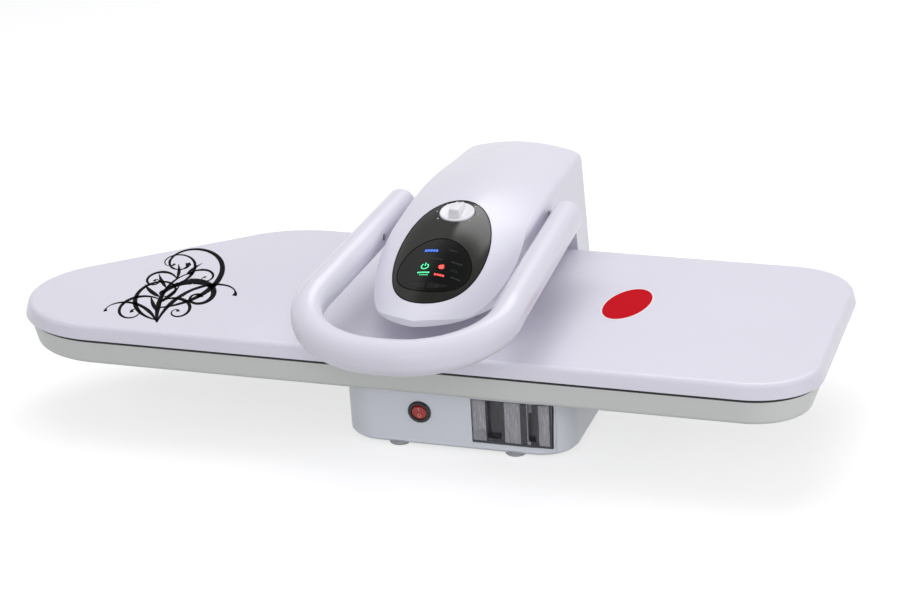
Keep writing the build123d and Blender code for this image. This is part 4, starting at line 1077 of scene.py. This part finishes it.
def puckerEdge(piece, start):
    # moves stay small, and the gathered cloth ripples round the edge
    look = coverLook
    low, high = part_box("foam_pad")
    outline = boardOutline("foam_pad", (low.z + high.z) / 2, 0.006)
    rim = kdtree.KDTree(len(outline.verts))
    for i, v in enumerate(outline.verts):
        rim.insert((v.co.x, v.co.y, 0), i)
    rim.balance()
    outline.free()
    for v, first in zip(piece.data.vertices, start):
        move = v.co - first
        if move.length > 1e-7:
            v.co = first + move.normalized() * look["cap"] * math.tanh(move.length / look["cap"])
        nearest, _, gap = rim.find((v.co.x, v.co.y, 0))
        near = max(0, 1 - gap / look["puckerReach"])
        upper = min(1, max(0, (v.co.z - low.z) / look["puckerRise"]))
        ripple = noise.noise(Vector((v.co.x, v.co.y, 0)) / look["puckerPitch"])
        v.co.z += look["pucker"] * ripple * near * upper
        v.co.z += look["waver"] * noise.noise(Vector((v.co.x, v.co.y, 0)) / look["waverPitch"]) * upper
        v.co.z = max(min(v.co.z, look["highest"]), low.z)


def makeHem():
    # the gathered edge of the cover, a soft rolled band round the foam's foot
    low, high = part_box("foam_pad")
    bm = boardOutline("foam_pad", (low.z + high.z) / 2, 0.004)
    points = orderedLoop(bm, {v: outwardOf(v) for v in bm.verts})
    bm.free()
    bm = bmesh.new()
    drawLine(bm, points, closed=True, kind="POLY", smoothing=1)
    bmesh.ops.remove_doubles(bm, verts=bm.verts, dist=1e-6)
    hem = addPiece("coverHem", bm, finishes["coverCloth"], "base", "cover_cloth")


def orderedLoop(bm, sides):
    # walk round the outline once, with a ripple in the band's place and thickness
    look = coverLook
    bm.verts.ensure_lookup_table()
    first = bm.verts[0]
    last, here = None, first
    points = []
    while True:
        ripple = noise.noise(here.co / 0.006)
        place = here.co + sides[here] * (look["hemOut"] + 0.0003 * ripple)
        place.z = look["hemLift"] + 0.0002 * ripple
        points.append((place, look["hemRadius"] * (1 + 0.25 * noise.noise(here.co / 0.004))))
        ahead = [e.other_vert(here) for e in here.link_edges if e.other_vert(here) is not last]
        last, here = here, ahead[0]
        if here is first:
            return points


makeBoardCover()
makeHem()
print("board cover made")

# Felt over the steam chamber, inside the head

feltSheetLook = {"cell": 0.02, "waver": 0.0003, "loft": 0.05}


def makeFelt():
    look = feltSheetLook
    low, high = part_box("insulation")
    bm = bmesh.new()
    bm.from_mesh(nodes["insulation"].data)
    bmesh.ops.remove_doubles(bm, verts=bm.verts, dist=1e-5)
    for axis, span in ((0, high.x - low.x), (1, high.y - low.y)):
        for i in range(1, int(span / look["cell"])):
            place = Vector(low)
            place[axis] += i * look["cell"]
            way = Vector((0, 0, 0))
            way[axis] = 1
            bmesh.ops.bisect_plane(bm, geom=bm.verts[:] + bm.edges[:] + bm.faces[:], plane_co=place, plane_no=way)
    middle = (low.z + high.z) / 2
    for v in bm.verts:
        inward = -1 if v.co.z > middle else 1
        loft = 0.5 + 0.5 * noise.noise(Vector((v.co.x, v.co.y, v.co.z * 40)) / look["loft"])
        v.co.z += inward * look["waver"] * (0.2 + 1.6 * loft)
    felt = addPiece("feltSheet", bm, finishes["felt"], "head", "insulation_felt")
    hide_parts("insulation")


makeFelt()
print("felt laid")

# Temperature knob: a dished disc with a wedge-shaped grip

knobLook = {
    "seat": (0.035, -0.001, 0.2258),
    "tilt": 13.0,
    "profile": [(0, 0.0004), (0.0174, 0.0004), (0.0182, 0.0010), (0.0182, 0.0030), (0.0178, 0.0037), (0.0170, 0.0040),
                (0.0162, 0.0037), (0.0150, 0.0032), (0.0080, 0.0030), (0, 0.0030)],
    "grip": (0.0100, 0.0260, 0.0110),
    "gripPlace": (0, 0.0008, 0.0080),
    "gripEdge": 0.0018,
    "backLow": 0.0062,
    "flare": 1.35,
    "pointer": (0.0012, 0.006),
    "pointerOut": 0.009,
    "pointerInk": (0.2, 0.2, 0.22),
}


def makeKnob():
    look = knobLook
    bm = turnedShape(look["profile"], 72)
    grip = bmesh.new()
    bmesh.ops.create_cube(grip, size=1.0)
    bmesh.ops.scale(grip, verts=grip.verts, vec=look["grip"])
    for v in grip.verts:
        if v.co.z < 0:
            v.co.x *= look["flare"]
        elif v.co.y > 0:
            v.co.z -= look["backLow"]
    bmesh.ops.bevel(grip, geom=grip.edges[:], offset=look["gripEdge"], offset_type="OFFSET", segments=4, profile=0.5,
                    affect="EDGES", material=-1)
    bmesh.ops.translate(grip, verts=grip.verts, vec=look["gripPlace"])
    mergeInto(bm, grip)
    bm.transform(Matrix.Translation(look["seat"]) @ Matrix.Rotation(math.radians(look["tilt"]), 4, "X"))
    knob = addPiece("dialKnob", bm, finishes["knobWhite"], "knob", "knob_white")
    knob.data.set_sharp_from_angle(angle=math.radians(50))
    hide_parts("temperature_knob")
    pointer = roundedBar(*look["pointer"], (look["seat"][0], look["seat"][1] + look["pointerOut"], dropHeight))
    ink = printedInk("pointerGrey", look["pointerInk"], 0.4)
    printMark("knobPointer", pointer, surfaceOf(knob), ink, "knob", "knob_white")


makeKnob()
print("knob made")

# Screws on the inner faces of the handle arms

screwLook = {
    "places": {"leftArmScrew": (-0.0485, -1), "rightArmScrew": (0.1185, 1)},
    "height": (-0.004, 0.1955),
    "recess": 0.0036,
    "head": 0.0024,
    "dome": 0.0006,
    "sink": 0.00015,
    "slot": (0.0005, 0.0028),
    "slotTurns": (0.4, 0.4 + math.pi / 2),
    # dark colour of the painted shade in the screw recesses and slots
    "ink": (0.01, 0.01, 0.011),
}


def makeScrews():
    look = screwLook
    handle = surfaceOf(nodes["handle_lower"], nodes["handle_upper"])
    # painted shade: a flat dark disc round each screw stands for the shadow in its recess, and dark bars on its head
    # stand for the shadow in its slot
    dark = printedInk("recessPaintedShade", look["ink"], 0.5)
    profile = [(look["head"] * r, look["dome"] * z) for r, z in ((0, 1), (0.6, 0.85), (0.93, 0.4), (1, 0))]
    for name, (x, side) in look["places"].items():
        way = Vector((side, 0, 0))
        turn = Matrix.Rotation(-side * math.pi / 2, 4, "Y")
        place = handle.ray_cast(Vector((x, *look["height"])) - way * 0.02, way)[0]
        seat = Matrix.Translation(place) @ turn
        recess = bmesh.new()
        bmesh.ops.create_circle(recess, cap_ends=True, segments=32, radius=look["recess"])
        recess.transform(seat)
        printMark(name + "PaintedRecessShade", recess, handle, dark, "handle", "switch_black", way, 0.0001)
        head = turnedShape(profile, 32)
        head.transform(Matrix.Translation(place - way * look["sink"]) @ turn)
        screw = addPiece(name, head, finishes["screwSteel"], "handle", "screw_steel")
        for number, angle in enumerate(look["slotTurns"]):
            slot = roundedBar(*look["slot"], (0, 0, 0))
            slot.transform(seat @ Matrix.Rotation(angle, 4, "Z"))
            printMark(name + "PaintedSlotShade" + str(number), slot, surfaceOf(screw), dark, "handle", "switch_black", way, 0.00004)


makeScrews()
print("screws set")

print("scene ready")
